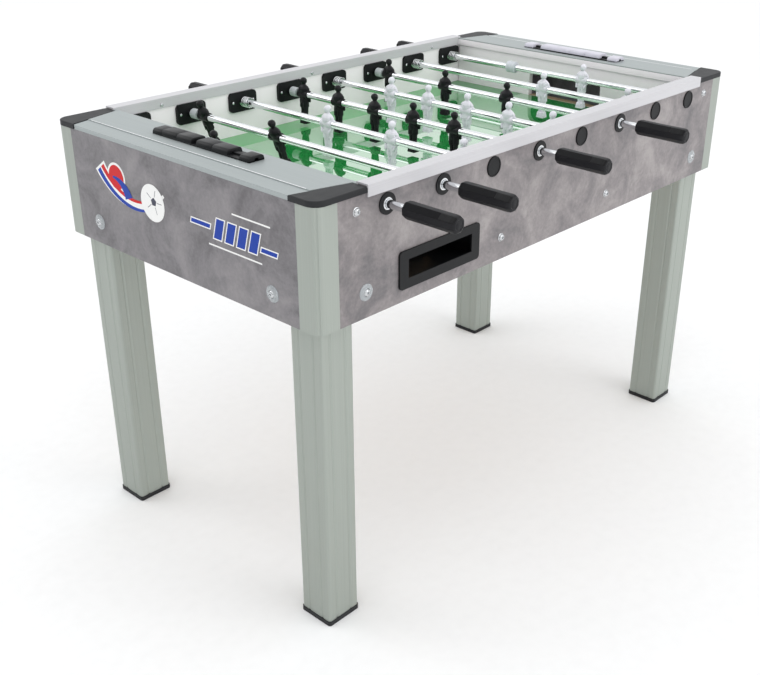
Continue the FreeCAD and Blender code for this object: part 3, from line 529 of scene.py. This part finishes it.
def soft_box(mesh: BMesh, low: Vector, high: Vector, radius: float, top: float = 1.0) -> None:
    """Block with rounded edges.

    Args:
        mesh: The mesh that gets the block.
        low: Lowest corner, in metres.
        high: Highest corner, in metres.
        radius: Radius of its edges, in metres.
        top: Size of the top face against the bottom one.
    """
    centre, size = (low + high) / 2, high - low
    place = Matrix.Translation(centre) @ Matrix.Diagonal((*size, 1.0))
    verts = bmesh.ops.create_cube(mesh, size=1.0, matrix=place)["verts"]
    upper = [vert for vert in verts if vert.co.z > centre.z]
    bmesh.ops.scale(mesh, vec=(top, top, 1), space=Matrix.Translation(-centre), verts=upper)
    round_off(mesh, {edge for vert in verts for edge in vert.link_edges}, radius)


def ball(mesh: BMesh, centre: Vector, radii: Vector, segments: int = 20) -> None:
    """Ellipsoid at a centre, both in millimetres."""
    place = Matrix.Translation(centre * MM) @ Matrix.Diagonal((*(radii * MM), 1.0))
    bmesh.ops.create_uvsphere(mesh, u_segments=segments, v_segments=segments * 2 // 3, radius=1.0,
                              matrix=place)


def finished(mesh: BMesh, name: str, crease: float = 38) -> bpy.types.Mesh:
    """Close a bmesh, turn its faces outwards and keep its edges crisp.

    Args:
        mesh: The form; it is freed.
        name: Name of the mesh.
        crease: Angle past which an edge is sharp, in degrees.

    Returns:
        The mesh.
    """
    bmesh.ops.remove_doubles(mesh, verts=mesh.verts, dist=1e-6)
    bmesh.ops.recalc_face_normals(mesh, faces=mesh.faces)
    data = bpy.data.meshes.new(name)
    mesh.to_mesh(data)
    mesh.free()
    data.shade_smooth()
    data.set_sharp_from_angle(angle=math.radians(crease))
    return data


def piece(data: bpy.types.Mesh, name: str, finish: Finish, body: str,
          stands_for: Iterable[str] = ()) -> Object:
    """Show a mesh as one piece of the table.

    Args:
        data: The mesh, in place.
        name: Name of the piece.
        finish: Its finish.
        body: The body it rides on.
        stands_for: Nodes that it replaces.

    Returns:
        The piece.
    """
    item = bpy.data.objects.new(name, data)
    bpy.context.scene.collection.objects.link(item)
    data.materials.append(finish.material())
    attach(item, body)
    if stands_for:
        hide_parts(*stands_for)
    log.info("%s rides on %s in %s", name, body, finish.title)
    return item


# ---------------------------------------------------------------- carried-over parts


@dataclass
class Cabinet:
    """The carried-over parts and the finish of each."""

    finishes: dict[str, Finish] = field(default_factory=lambda: dict(NODE_FINISHES))

    def dress(self) -> None:
        """Give every carried-over part its material."""
        for name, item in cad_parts.items():
            finish = self.finish_of(name)
            for place in item.material_slots:
                place.material = finish.material()
            log.info("%s keeps its shape in %s", name, finish.title)

    def finish_of(self, name: str) -> Finish:
        """Finish of a part by its name; rods and counters follow a rule."""
        if name in self.finishes:
            return self.finishes[name]
        if name.startswith("counter_"):
            return COUNTER_BLACK if "left" in name else COUNTER_PALE
        if name.endswith("_handle"):
            return GRIP_BLACK
        if name.endswith("_figures"):
            return DARK_NYLON
        return CHROME


# ---------------------------------------------------------------- rods


@dataclass
class Figure:
    """A player, drawn about the rod's axis, facing +X with the foot down, in millimetres."""

    torso: tuple[Ring, ...] = (
        Ring(-21, 8.2, 10.8), Ring(-16.2, 8.8, 11.4), Ring(-16, 9.7, 12.4), Ring(-7, 9.2, 11.8),
        Ring(0, 10.2, 13.0), Ring(8, 11.2, 14.4), Ring(14, 10.4, 14.6), Ring(18, 8.4, 12.4),
        Ring(21.2, 6.0, 8.2), Ring(22.8, 4.8, 5.4), Ring(26, 4.2, 4.5))
    arm: tuple[Ring, ...] = (
        Ring(17.5, 3.0, 2.6, 0, 11.6), Ring(14, 4.6, 3.7, 0, 13.4), Ring(6, 4.8, 3.9, -0.8, 14.4),
        Ring(-2, 4.2, 3.6, 0, 14.8), Ring(-8, 3.8, 3.4, 2.6, 14.0), Ring(-14, 3.5, 3.2, 5.6, 12.6),
        Ring(-18, 3.2, 2.8, 7.2, 11.6), Ring(-20, 1.8, 1.6, 7.6, 11.2))
    leg: tuple[Ring, ...] = (
        Ring(-14, 8.4, 6.6, 0, 5.4), Ring(-31, 8.4, 6.4, 0, 5.5), Ring(-31.6, 6.9, 5.2, 0, 5.1),
        Ring(-39, 6.1, 4.7, 0.4, 4.8), Ring(-47, 6.5, 4.8, -0.3, 4.6), Ring(-56, 5.4, 4.2, 0, 4.4),
        Ring(-61, 6.4, 5.0, 0.6, 4.8))
    boss_round: float = 10.4
    boss_half: float = 16.6
    # head and hair: centre, then half sizes
    head: tuple[tuple[float, ...], ...] = (
        (0.3, 0, 31.3), (8.0, 7.4, 8.7), (-0.9, 0, 32.6), (8.0, 7.9, 7.6))
    foot: tuple[tuple[float, ...], ...] = ((-8.6, -11, -72), (9.6, 11, -57))
    toe_ribs: tuple[float, ...] = (-69.2, -66.4, -63.6)

    def build(self) -> bpy.types.Mesh:
        """Model the player once, for every rod to copy."""
        mesh = bmesh.new()
        loft(mesh, self.torso)
        for side in (1, -1):
            for limb in (self.arm, self.leg):
                loft(mesh, [Ring(r.height, r.deep, r.wide, r.ahead, side * r.aside) for r in limb], 14)
        for centre, radii in zip(self.head[::2], self.head[1::2]):
            ball(mesh, Vector(centre), Vector(radii))
        wide, half = self.boss_round, self.boss_half
        turned(mesh, [(BORE, -half), (wide - 0.8, -half), (wide, 0.8 - half), (wide, half - 0.8),
                      (wide - 0.8, half), (BORE, half)], ALONG_Y)
        soft_box(mesh, *(at(*corner) for corner in self.foot), 1.6 * MM, top=0.8)
        toe = self.foot[1][0]
        for height in self.toe_ribs:
            soft_box(mesh, at(toe - 2, -8.2, height - 0.6), at(toe + 0.1, 8.2, height + 0.6), 0.3 * MM)
        return finished(mesh, "figure", 42)


@dataclass
class Grip:
    """Eight-sided handle sleeve with rounded ends, in millimetres from the tube's side."""

    outline: tuple[tuple[float, float], ...] = (
        (0, 12.6), (0.7, 14.4), (2.6, 16.0), (8, 16.9), (60, 16.6), (108, 17.0), (114.5, 16.4),
        (117, 15.3), (118.4, 13.4), (119, 11.4))
    sides: int = 8
    edge_round: float = 0.9
    dimple: float = 0.9
    dimple_rim: float = 2.2
    shoulder: float = 117.5

    def build(self) -> bpy.types.Mesh:
        """Model the sleeve along Z, ready to be turned onto a rod."""
        mesh = bmesh.new()
        loft(mesh, [Ring(height, radius, radius) for height, radius in self.outline], self.sides)
        bmesh.ops.rotate(mesh, verts=mesh.verts, matrix=Matrix.Rotation(math.pi / self.sides, 3, "Z"))
        end = max(mesh.faces, key=lambda face: face.calc_center_median().z)
        bmesh.ops.inset_region(mesh, faces=[end], thickness=self.dimple_rim * MM, depth=-self.dimple * MM)
        ribs = [edge for edge in mesh.edges
                if abs((edge.verts[0].co - edge.verts[1].co).z) > 0.5 * MM and not self.flat(edge)]
        round_off(mesh, ribs, self.edge_round * MM)
        return finished(mesh, "grip", 30)

    def flat(self, edge: BMEdge) -> bool:
        """True where an edge lies close to an end face and must stay as it is."""
        heights = [vert.co.z / MM for vert in edge.verts]
        return max(heights) > self.shoulder or min(heights) < 0.1


@dataclass
class Rod:
    """One telescopic rod with its players or stops, its handle and its buffer ring."""

    number: int
    lean: float = 0.0
    figure_half: float = 17.0
    stop_half: float = 13.0
    stop_round: float = 15.0
    ring_round: float = 11.0
    ring_long: float = 22.0
    ring_cover: float = 0.35

    @property
    def body(self) -> str:
        """Name of the body that carries the rod."""
        return f"rod_{self.number}"

    @property
    def side(self) -> int:
        """-1 for a handle at the front, +1 for one at the back."""
        low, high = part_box(f"{self.body}_handle")
        return 1 if low.y + high.y > 0 else -1

    @property
    def team(self) -> Team:
        """Front handles belong to the dark team."""
        return Team.DARK if self.side < 0 else Team.CLEAR

    @property
    def axis(self) -> Vector:
        """Point of the rod's axis over the middle of the table."""
        low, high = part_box(f"{self.body}_guide")
        return Vector(((low.x + high.x) / 2, 0, (low.z + high.z) / 2))

    def stance(self, along: float) -> Matrix:
        """Matrix that sets a player drawn about the origin on the rod."""
        turn = Matrix() if self.team is Team.DARK else HALF_TURN
        lean = Matrix.Rotation(math.radians(-self.lean), 4, "Y")
        return Matrix.Translation(self.axis + Vector((0, along, 0))) @ turn @ lean

    def build(self, figure: bpy.types.Mesh, grip: bpy.types.Mesh) -> None:
        """Set the row of players and stops, then the handle and the ring."""
        low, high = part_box(f"{self.body}_figures")
        keeper, row = self.number in KEEPER_RODS, ROWS[self.number]
        margin = (self.stop_half if keeper else self.figure_half) * MM
        step = (high.y - low.y - 2 * margin) / (row - 1)
        finish = DARK_NYLON if self.team is Team.DARK else CLEAR_NYLON
        for i in range(row):
            along = low.y + margin + i * step
            if keeper and i != 1:
                data, name, look = self.stop(), f"stop_{self.number}_{i + 1}", STOP_RUBBER
            else:
                data, name, look = figure.copy(), f"figure_{self.number}_{i + 1}", finish
            data.transform(self.stance(along))
            piece(data, name, look, self.body, [f"{self.body}_figures"])
        self.fit_grip(grip)
        self.fit_ring()

    def stop(self) -> bpy.types.Mesh:
        """Stop collar with rounded rims and a shallow waist."""
        mesh = bmesh.new()
        half, wide = self.stop_half, self.stop_round
        turned(mesh, [(BORE, -half), (wide - 2, -half), (wide - 0.5, 0.6 - half), (wide, 2 - half),
                      (wide, -4), (wide - 0.9, -3), (wide - 0.9, 3), (wide, 4), (wide, half - 2),
                      (wide - 0.5, half - 0.6), (wide - 2, half), (BORE, half)], ALONG_Y)
        return finished(mesh, "stop")

    def fit_grip(self, grip: bpy.types.Mesh) -> None:
        """Slide the sleeve over the end of the tube."""
        low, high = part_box(f"{self.body}_handle")
        start = high.y if self.side < 0 else low.y
        data = grip.copy()
        place = Matrix.Translation(Vector((self.axis.x, start, self.axis.z)))
        data.transform(place @ quarter("X", -self.side))
        piece(data, f"grip_{self.number}", GRIP_BLACK, self.body, [f"{self.body}_handle"])

    def fit_ring(self) -> None:
        """Cover the ring at the tube's far end with its soft buffer."""
        low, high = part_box(f"{self.body}_tube")
        end = high.y if self.side < 0 else low.y
        wide, far, cover = self.ring_round, self.ring_long, self.ring_cover
        mesh = bmesh.new()
        place = Matrix.Translation(Vector((self.axis.x, end, self.axis.z))) @ ALONG_Y
        inward = -1 if self.side < 0 else 1
        profile = [(8.1, -cover), (wide - 0.6, -cover), (wide + cover, 0.7), (wide + cover, far - 0.6),
                   (wide - 0.6, far + cover), (8.1, far + cover)]
        turned(mesh, [(radius, inward * height) for radius, height in profile], place)
        piece(finished(mesh, "ring"), f"rod_buffer_{self.number}", BUFFER_GREY, self.body)


@dataclass
class RodFittings:
    """Rings on the outer collars, rims on the blind caps and screws in the flanges, in millimetres."""

    collar_face: float = 392.5
    cap_face: float = 392.0
    ring_round: float = 11.6
    screw_round: float = 3.2
    screw_place: float = 30.0
    flange_face: float = 361.0

    def build(self) -> None:
        """Fit every rod's rings and screws."""
        screws = bmesh.new()
        for number in ROWS:
            rod = Rod(number)
            self.bright_ring(rod)
            self.cap_rim(rod)
            for face in (1, -1):
                self.flange_screws(screws, rod.axis, face)
        piece(finished(screws, "flange_screws"), "flange_screws", BOLT_STEEL, "cabinet")

    @staticmethod
    def outward(rod: Rod, side: int, face: float) -> Matrix:
        """Matrix that sets a form turned about Z on one outer face of the wall."""
        place = Matrix.Translation(rod.axis + Vector((0, side * face * MM, 0)))
        return place @ quarter("X", -side)

    def bright_ring(self, rod: Rod) -> None:
        """Chrome ring where the tube enters the outer collar."""
        mesh = bmesh.new()
        wide = self.ring_round
        profile = [(8.5, -0.4), (wide, -0.4), (wide, 0.9), (wide - 0.6, 1.5), (9.8, 1.5), (9.2, 0.9),
                   (8.5, 0.9)]
        turned(mesh, profile, self.outward(rod, rod.side, self.collar_face))
        piece(finished(mesh, "bright_ring"), f"collar_ring_{rod.number}", CHROME, "cabinet")

    def cap_rim(self, rod: Rod) -> None:
        """Raised rim round the blind cap in the opposite wall."""
        mesh = bmesh.new()
        profile = [(17.4, -0.3), (20.3, -0.3), (20.3, 0.5), (19.6, 1.1), (18.1, 1.1), (17.4, 0.4)]
        turned(mesh, profile, self.outward(rod, -rod.side, self.cap_face))
        piece(finished(mesh, "cap_rim"), f"cap_rim_{rod.number}", BUSH_BLACK, "cabinet")

    def flange_screws(self, mesh: BMesh, axis: Vector, face: int) -> None:
        """Two small domed screws, one on each side of the rod, in one inner flange."""
        inward = quarter("X", face)
        wide = self.screw_round
        head = [(0, -0.4), (wide, -0.4), (wide, 0.5), (wide * 0.7, 1.1), (1.1, 1.3), (0.9, 0.5), (0, 0.5)]
        for across in (1, -1):
            shift = at(across * self.screw_place, face * self.flange_face, 0)
            turned(mesh, head, Matrix.Translation(axis + shift) @ inward, 12)


# ---------------------------------------------------------------- score bars


@dataclass
class ScoreBar:
    """One score bar with its four counters, in millimetres.

    Attributes:
        end: -1 for the near end of the table, +1 for the far one.
        middle: Distance of the bar from the middle of the table.
        half: Half the bar's width.
        low: Height of the deck under it.
        back: Y of its back end.
        front: Y of its front end.
        rail_high: Thickness of the rail.
        ridge: Half width and top of the rail's ridge, above the deck.
        groove: Half width and top of the counters' groove, above the deck.
        block_high: Height of the end blocks.
        crown: Radius of the arched tops.
        rim_round: Radius of the other edges.
        counter_lift: How far the arch stands above the plain counter.
        blocks: Y range of the back and front end blocks.
    """

    end: int
    middle: float = 608.5
    half: float = 18.5
    low: float = 915.0
    back: float = 150.0
    front: float = -143.0
    rail_high: float = 3.0
    ridge: tuple[float, float] = (5.0, 7.0)
    groove: tuple[float, float] = (5.4, 7.4)
    block_high: float = 11.0
    crown: float = 7.6
    rim_round: float = 0.9
    counter_lift: float = 0.4
    blocks: tuple[tuple[float, float], ...] = ((121.0, 150.0), (-143.0, -115.0))

    @property
    def label(self) -> str:
        """Word for the end of the table."""
        return "left" if self.end < 0 else "right"

    @property
    def finish(self) -> Finish:
        """Colour of this end's counters and end blocks."""
        return COUNTER_BLACK if self.end < 0 else COUNTER_PALE

    def strip(self, mesh: BMesh, half: float, low: float, high: float, radius: float) -> None:
        """Strip along the whole bar, centred on it."""
        middle = self.end * self.middle
        soft_box(mesh, at(middle - half, self.front, low), at(middle + half, self.back, high), radius * MM)

    def lump(self, mesh: BMesh, low: Vector, high: Vector, slot: Vector | None = None) -> None:
        """Block with an arched top, pushed out along the bar, in metres.

        Args:
            mesh: The mesh that gets the block.
            low: Its lowest corner.
            high: Its highest corner.
            slot: Half width and height of a groove under it, if it has one.
        """
        middle = (low.x + high.x) / 2
        groove = [(middle - slot.x, low.z), (middle - slot.x, slot.z), (middle + slot.x, slot.z),
                  (middle + slot.x, low.z)] if slot else []
        outline = [(low.x, low.z), *groove, (high.x, low.z), (high.x, high.z), (low.x, high.z)]
        face = mesh.faces.new([mesh.verts.new((x, low.y, z)) for x, z in outline])
        rise(mesh, [face], Vector((0, high.y - low.y, 0)))
        upper = [edge for edge in mesh.edges if abs(edge.verts[0].co.y - edge.verts[1].co.y) > MM
                 and all(vert.co.z > high.z - 1e-6 for vert in edge.verts)]
        round_off(mesh, upper, self.crown * MM, 6)
        rim = [edge for edge in mesh.edges if abs(edge.verts[0].co.y - edge.verts[1].co.y) < 1e-7
               and min(vert.co.z for vert in edge.verts) > low.z + 2 * MM
               and any(abs(edge.verts[0].co.y - y) < 1e-7 for y in (low.y, high.y))
               and (slot is None or max(abs(vert.co.x - middle) for vert in edge.verts) > slot.x + 1e-6
                    or min(vert.co.z for vert in edge.verts) > slot.z + MM)]
        round_off(mesh, rim, self.rim_round * MM, 2)

    def build(self) -> None:
        """Make the rail, its end blocks and the counters."""
        rail = bmesh.new()
        self.strip(rail, self.half, self.low, self.low + self.rail_high, 0.5)
        self.strip(rail, self.ridge[0], self.low + 1, self.low + self.ridge[1], 0.6)
        stands_for = ["scorer_rails"] if self.end < 0 else []
        piece(finished(rail, "score_rail"), f"score_rail_{self.label}", COUNTER_BLACK, "cabinet",
              stands_for)
        middle = self.end * self.middle
        for name, (near, far) in zip(("near", "far"), self.blocks):
            block = bmesh.new()
            self.lump(block, at(middle - self.half, near, self.low + 0.1),
                      at(middle + self.half, far, self.low + self.block_high))
            piece(finished(block, "score_block"), f"score_block_{self.label}_{name}", self.finish, "cabinet")
        for number in range(1, 5):
            self.counter(number)

    def counter(self, number: int) -> None:
        """Counter with a groove under it for the rail's ridge."""
        node = f"counter_{self.label}_{number}"
        low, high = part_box(node)
        mesh = bmesh.new()
        slot = at(self.groove[0], 0, self.low + self.groove[1])
        self.lump(mesh, low, Vector((high.x, high.y, high.z + self.counter_lift * MM)), slot)
        body = f"{self.label}_counter_{number}"
        piece(finished(mesh, node), f"score_counter_{self.label}_{number}", self.finish, body,
              [node])


# ---------------------------------------------------------------- small fittings


@dataclass
class PanelBolts:
    """Domed socket bolts on clear cup washers, in millimetres."""

    half_length: float = 695.0
    half_width: float = 390.0
    side_large: tuple[tuple[float, float], ...] = ((-579.5, 720.0), (579.5, 720.0))
    side_small: tuple[tuple[float, float], ...] = ((-191.5, 718.0), (191.5, 718.0), (-601.0, 876.0),
                                                   (601.0, 876.0))
    end_large: tuple[tuple[float, float], ...] = ((-271.0, 718.0), (271.0, 718.0))

    def build(self) -> None:
        """Fit all bolts, on the long and the short walls."""
        washers, heads = bmesh.new(), bmesh.new()
        for face in (-1, 1):
            toward = quarter("X", -face)
            for spots, large in ((self.side_large, True), (self.side_small, False)):
                for x, z in spots:
                    place = Matrix.Translation(at(-face * x, face * self.half_width, z)) @ toward
                    self.bolt(washers, heads, place, large)
            outward = quarter("Y", face)
            for y, z in self.end_large:
                place = Matrix.Translation(at(face * self.half_length, y, z)) @ outward
                self.bolt(washers, heads, place, True)
        piece(finished(washers, "washers"), "cup_washers", CLEAR_WASHER, "cabinet")
        piece(finished(heads, "heads"), "bolt_heads", BOLT_STEEL, "cabinet", ["panel_bolts"])

    def bolt(self, washers: BMesh, heads: BMesh, place: Matrix, large: bool) -> None:
        """One bolt: its washer goes to one mesh and its head to another."""
        if large:
            turned(washers, [(7.6, 0), (16.5, 0), (16.5, 0.7), (14.8, 1.8), (10.6, 3.0), (7.6, 3.2)],
                   place, 36)
        turned(heads, [(0, -4), (4, -4), (4, 0), (8.8, 0), (8.8, 0.8), (7.5, 1.4), (7.2, 3.2), (5.6, 5.0),
                       (3.6, 5.6), (2.7, 5.6), (2.7, 3.2), (0, 3.2)], place, 24)


@dataclass
class EndStrips:
    """A thin strip across each end of the table, in millimetres.

    Attributes:
        name: Name of the piece.
        finish: Its finish.
        slot: The record's material slot; not used.
        along: Nearest and furthest X from the middle of the table.
        half: Half the length across the table.
        height: Lowest and highest Z.
        edge: Radius of the edges.
    """

    name: str
    finish: Finish
    slot: str
    along: tuple[float, float]
    half: float
    height: tuple[float, float]
    edge: float

    def build(self) -> None:
        """Lay one strip at each end."""
        mesh = bmesh.new()
        for end in (-1, 1):
            near, far = sorted(end * x for x in self.along)
            low, high = self.height
            soft_box(mesh, at(near, -self.half, low), at(far, self.half, high), self.edge * MM)
        piece(finished(mesh, self.name), self.name, self.finish, "cabinet")


END_STRIPS = (
    # sanded plywood edge under each goal mouth
    EndStrips("goal_sills", PLY_EDGE, "white_laminate", (572.0, 597.0), 113.0, (793.8, 794.6), 0.25),
    # painted highlight: bright bead along the step of each end deck, where the step catches the light
    EndStrips("deck_step_highlights", DECK_STEP_HIGHLIGHT, "deck_aluminium", (653.4, 655.3), 324.0, (914.6, 915.7), 0.3),
    # white band over the inner lip of each end deck
    EndStrips("edge_bands", MELAMINE, "deck_aluminium", (566.5, 567.2), 366.0, (897.0, 912.5), 0.15),
)


SASH_STEPS = 18
# share of its width that a sash loses by its far end
SASH_TAPER = 0.85


@dataclass
class EndDecals:
    """Plain printed film on the near end panel: a ball with sashes, and slanted stripes.

    Places on the film are millimetres to the right of the panel's middle and above the floor.
    """

    face: float = -695.0
    film: float = 0.1
    ball_place: tuple[float, float] = (-72.0, 806.0)
    ball_round: float = 38.0

    def spread(self, layer: int) -> Matrix:
        """Matrix that lays a drawing in X and Y on the panel, a film's thickness above the last one."""
        rows = ((0, 0, -1, (self.face - 0.02) * MM), (-1, 0, 0, 0), (0, 1, 0, 0), (0, 0, 0, 1))
        return Matrix(rows) @ Matrix.Translation((0, 0, layer * self.film * MM))

    def show(self, mesh: BMesh, name: str, finish: Finish, layer: int) -> None:
        """Thicken a flat drawing, stick it on the panel and show it."""
        rise(mesh, mesh.faces, at(0, 0, self.film))
        bmesh.ops.transform(mesh, matrix=self.spread(layer), verts=mesh.verts)
        piece(finished(mesh, name), name, finish, "cabinet")

    @staticmethod
    def disc(mesh: BMesh, centre: tuple[float, float], radius: float) -> None:
        """Filled circle."""
        bmesh.ops.create_circle(mesh, cap_ends=True, segments=40, radius=radius * MM,
                                matrix=Matrix.Translation(at(*centre, 0)))

    @staticmethod
    def sash(mesh: BMesh, centre: tuple[float, float], radii: tuple[float, float], start: float,
             sweep: float) -> None:
        """Curved band made by spinning a short line, tapered to its far end.

        Args:
            mesh: The drawing.
            centre: Centre of the curve.
            radii: Inner and outer radius.
            start: Angle of the wide end, in degrees.
            sweep: Angle that the band covers, in degrees.
        """
        hub = at(*centre, 0)
        turn = Matrix.Rotation(math.radians(start), 3, "Z")
        ends = [mesh.verts.new(hub + turn @ Vector((radius * MM, 0, 0))) for radius in radii]
        edge = mesh.edges.new(ends)
        known = set(mesh.verts) - set(ends)
        bmesh.ops.spin(mesh, geom=[*ends, edge], cent=hub, axis=(0, 0, 1), angle=math.radians(sweep),
                       steps=SASH_STEPS)
        middle = sum(radii) / 2 * MM
        for vert in set(mesh.verts) - known:
            arm = vert.co - hub
            turned_by = abs((math.degrees(math.atan2(arm.y, arm.x)) - start + 180) % 360 - 180)
            narrow = 1 - SASH_TAPER * min(turned_by / abs(sweep), 1)
            vert.co = hub + arm.normalized() * (middle + (arm.length - middle) * narrow)

    @staticmethod
    def bar(mesh: BMesh, centre: tuple[float, float], size: tuple[float, float], lean: float = 0.0,
            turn: float = 0.0) -> None:
        """Bar about a centre, sheared to the right by its lean and turned by an angle in degrees."""
        (x, y), (wide, high) = centre, size
        shear = Matrix(((wide, lean * high, 0, 0), (0, high, 0, 0), (0, 0, 1, 0), (0, 0, 0, 1 / MM))) * MM
        turning = Matrix.Rotation(math.radians(turn), 4, "Z")
        place = Matrix.Translation(at(x, y, 0)) @ turning @ shear
        bmesh.ops.create_grid(mesh, x_segments=1, y_segments=1, size=0.5, matrix=place)

    def build(self) -> None:
        """Make both decals."""
        self.ball_and_sashes()
        self.stripes()

    def ball_and_sashes(self) -> None:
        """White ball with ink seams, and red, blue and white sashes that trail behind it."""
        x, y = self.ball_place
        hub, cape, swirl = (x - 60, y + 120), (x - 118, y + 26), (x - 130, y - 28)
        films = (("cape_white", FILM_WHITE, self.disc, (cape, 30)),
                 ("trail_white", FILM_WHITE, self.sash, (hub, (118, 158), 215, 100)),
                 ("trail_blue", FILM_BLUE, self.sash, (hub, (140, 153), 217, 92)),
                 ("trail_red", FILM_RED, self.sash, (hub, (124, 136), 217, 92)),
                 ("cape_red", FILM_RED, self.disc, (cape, 25)),
                 ("swirl_blue", FILM_BLUE, self.sash, (swirl, (40, 66), 20, 70)),
                 ("ball_white", FILM_WHITE, self.disc, (self.ball_place, self.ball_round)))
        for layer, (name, finish, draw, shape) in enumerate(films):
            mesh = bmesh.new()
            draw(mesh, *shape)
            self.show(mesh, f"decal_{name}", finish, layer)
        seams = bmesh.new()
        middle = Vector((x + 4, y + 3))
        bmesh.ops.create_circle(seams, cap_ends=True, segments=5, radius=9 * MM,
                                matrix=Matrix.Translation(middle.to_3d() * MM))
        for angle in range(0, 360, 72):
            ray = Vector((math.cos(math.radians(angle)), math.sin(math.radians(angle))))
            self.bar(seams, tuple(middle + ray * 18), (15, 1.2), turn=angle)
        self.show(seams, "decal_ball_seams", FILM_INK, len(films))

    def stripes(self) -> None:
        """Even blue stripes on a white edge between two dashes, with a thin line under them."""
        slim, tall = (22, 40), 803
        marks = [((130 + 33 * i, tall), slim) for i in range(4)]
        marks += [((76, tall), (56, 8)), ((268, tall - 8), (42, 8))]
        edge, blue = bmesh.new(), bmesh.new()
        for centre, (wide, high) in marks:
            self.bar(edge, centre, (wide + 5, high + 5), 0.3)
            self.bar(blue, centre, (wide, high), 0.3)
        for line in (((172, 768), (150, 3.2)), ((222, 843), (104, 3.2))):
            self.bar(edge, *line)
        self.show(edge, "decal_stripes_white", FILM_WHITE, 0)
        self.show(blue, "decal_stripes_blue", FILM_BLUE, 1)


# ---------------------------------------------------------------- studio


@dataclass
class Studio:
    """Pale floor, soft light and the camera, in metres and degrees."""

    place: tuple[float, float, float] = (-1.81486, -1.61519, 1.48369)
    azimuth: float = -47.87
    elevation: float = 26.19
    roll: float = 0.46
    lens: float = 50.5
    shift: tuple[float, float] = (-0.0403, 0.0016)
    floor_half: float = 90.0
    world_power: float = 1.1
    bright_side: tuple[float, float, float] = (0.4, -0.12, 1.0)
    dim_colour: str = "#8E9194"
    bright_colour: str = "#FDFEFF"
    # name, place, side and power; all in metres and watts
    softboxes: tuple[tuple[str, tuple[float, float, float], float, float], ...] = (
        ("key", (-3.4, -1.2, 3.4), 2.6, 6), ("fill", (1.2, -4.2, 2.6), 3.0, 40),
        ("back", (-2.6, 3.8, 3.6), 3.2, 36))
    aim_height: float = 0.75

    def build(self) -> None:
        """Set up everything that isn't the table."""
        self.set_floor()
        self.set_lights()
        self.set_camera()

    def set_floor(self) -> None:
        """Plain floor without a visible edge."""
        mesh = bmesh.new()
        bmesh.ops.create_grid(mesh, x_segments=1, y_segments=1, size=self.floor_half)
        bmesh.ops.translate(mesh, vec=(0, 0, -0.0005), verts=mesh.verts)
        data = bpy.data.meshes.new("floor")
        mesh.to_mesh(data)
        mesh.free()
        floor = bpy.data.objects.new("floor", data)
        bpy.context.scene.collection.objects.link(floor)
        # matt studio paper
        data.materials.append(Finish("paper_backdrop_matt", "#FCFCFC", 0.9).material())

    def set_lights(self) -> None:
        """Pale world that is dimmer low on the left, and the softboxes."""
        scene = bpy.context.scene
        scene.view_settings.view_transform = "Standard"
        world = bpy.data.worlds.new("studio")
        world.use_nodes = True
        tree = world.node_tree
        sky = tree.nodes["Background"]
        sky.inputs["Strength"].default_value = self.world_power
        aim = add_node(tree, "VectorMath", {0: add_node(tree, "TexCoord").outputs["Generated"],
                                            1: self.bright_side}, operation="DOT_PRODUCT")
        level = add_node(tree, "MapRange", {"Value": aim.outputs["Value"], "From Min": -0.35,
                                            "From Max": 0.3})
        ramp = add_node(tree, "ValToRGB", {"Fac": level.outputs["Result"]})
        stops = ramp.color_ramp.elements
        stops[0].color, stops[1].color = linear(self.dim_colour), linear(self.bright_colour)
        tree.links.new(ramp.outputs["Color"], sky.inputs["Color"])
        scene.world = world
        for softbox in self.softboxes:
            self.softbox(*softbox)

    def softbox(self, name: str, place: tuple[float, float, float], side: float, power: float) -> None:
        """Square area light aimed at the table."""
        light = bpy.data.lights.new(name, "AREA")
        light.size, light.energy = side, power
        lamp = bpy.data.objects.new(name, light)
        lamp.location = place
        aim = Vector((0, 0, self.aim_height)) - Vector(place)
        lamp.rotation_euler = aim.to_track_quat("-Z", "Y").to_euler()
        bpy.context.scene.collection.objects.link(lamp)

    def set_camera(self) -> None:
        """Camera at the viewing angle, with a small shift for the framing."""
        turn, rise, roll = (math.radians(angle) for angle in (self.azimuth, self.elevation, self.roll))
        back = Vector((math.sin(turn) * math.cos(rise), -math.cos(turn) * math.cos(rise), math.sin(rise)))
        right = Vector((math.cos(turn), math.sin(turn), 0))
        up = back.cross(right)
        right, up = (right * math.cos(roll) + up * math.sin(roll),
                     up * math.cos(roll) - right * math.sin(roll))
        axes = Matrix((right, up, back)).transposed().to_4x4()
        camera = bpy.data.objects.new("camera", bpy.data.cameras.new("camera"))
        camera.data.lens = self.lens
        camera.data.shift_x, camera.data.shift_y = self.shift
        camera.matrix_world = Matrix.Translation(self.place) @ axes
        bpy.context.scene.collection.objects.link(camera)
        bpy.context.scene.camera = camera



def main() -> None:
    """Dress the frame, add the detailed pieces and set up the studio."""
    logging.basicConfig(level=logging.INFO, format="%(message)s")
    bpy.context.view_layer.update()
    Cabinet().dress()
    figure, grip = Figure().build(), Grip().build()
    for number in ROWS:
        Rod(number, SECOND_ROD_LEAN if number == 2 else 0.0).build(figure, grip)
    RodFittings().build()
    for end in (-1, 1):
        ScoreBar(end).build()
    PanelBolts().build()
    for strips in END_STRIPS:
        strips.build()
    EndDecals().build()
    Studio().build()


if __name__ == "__main__":
    main()
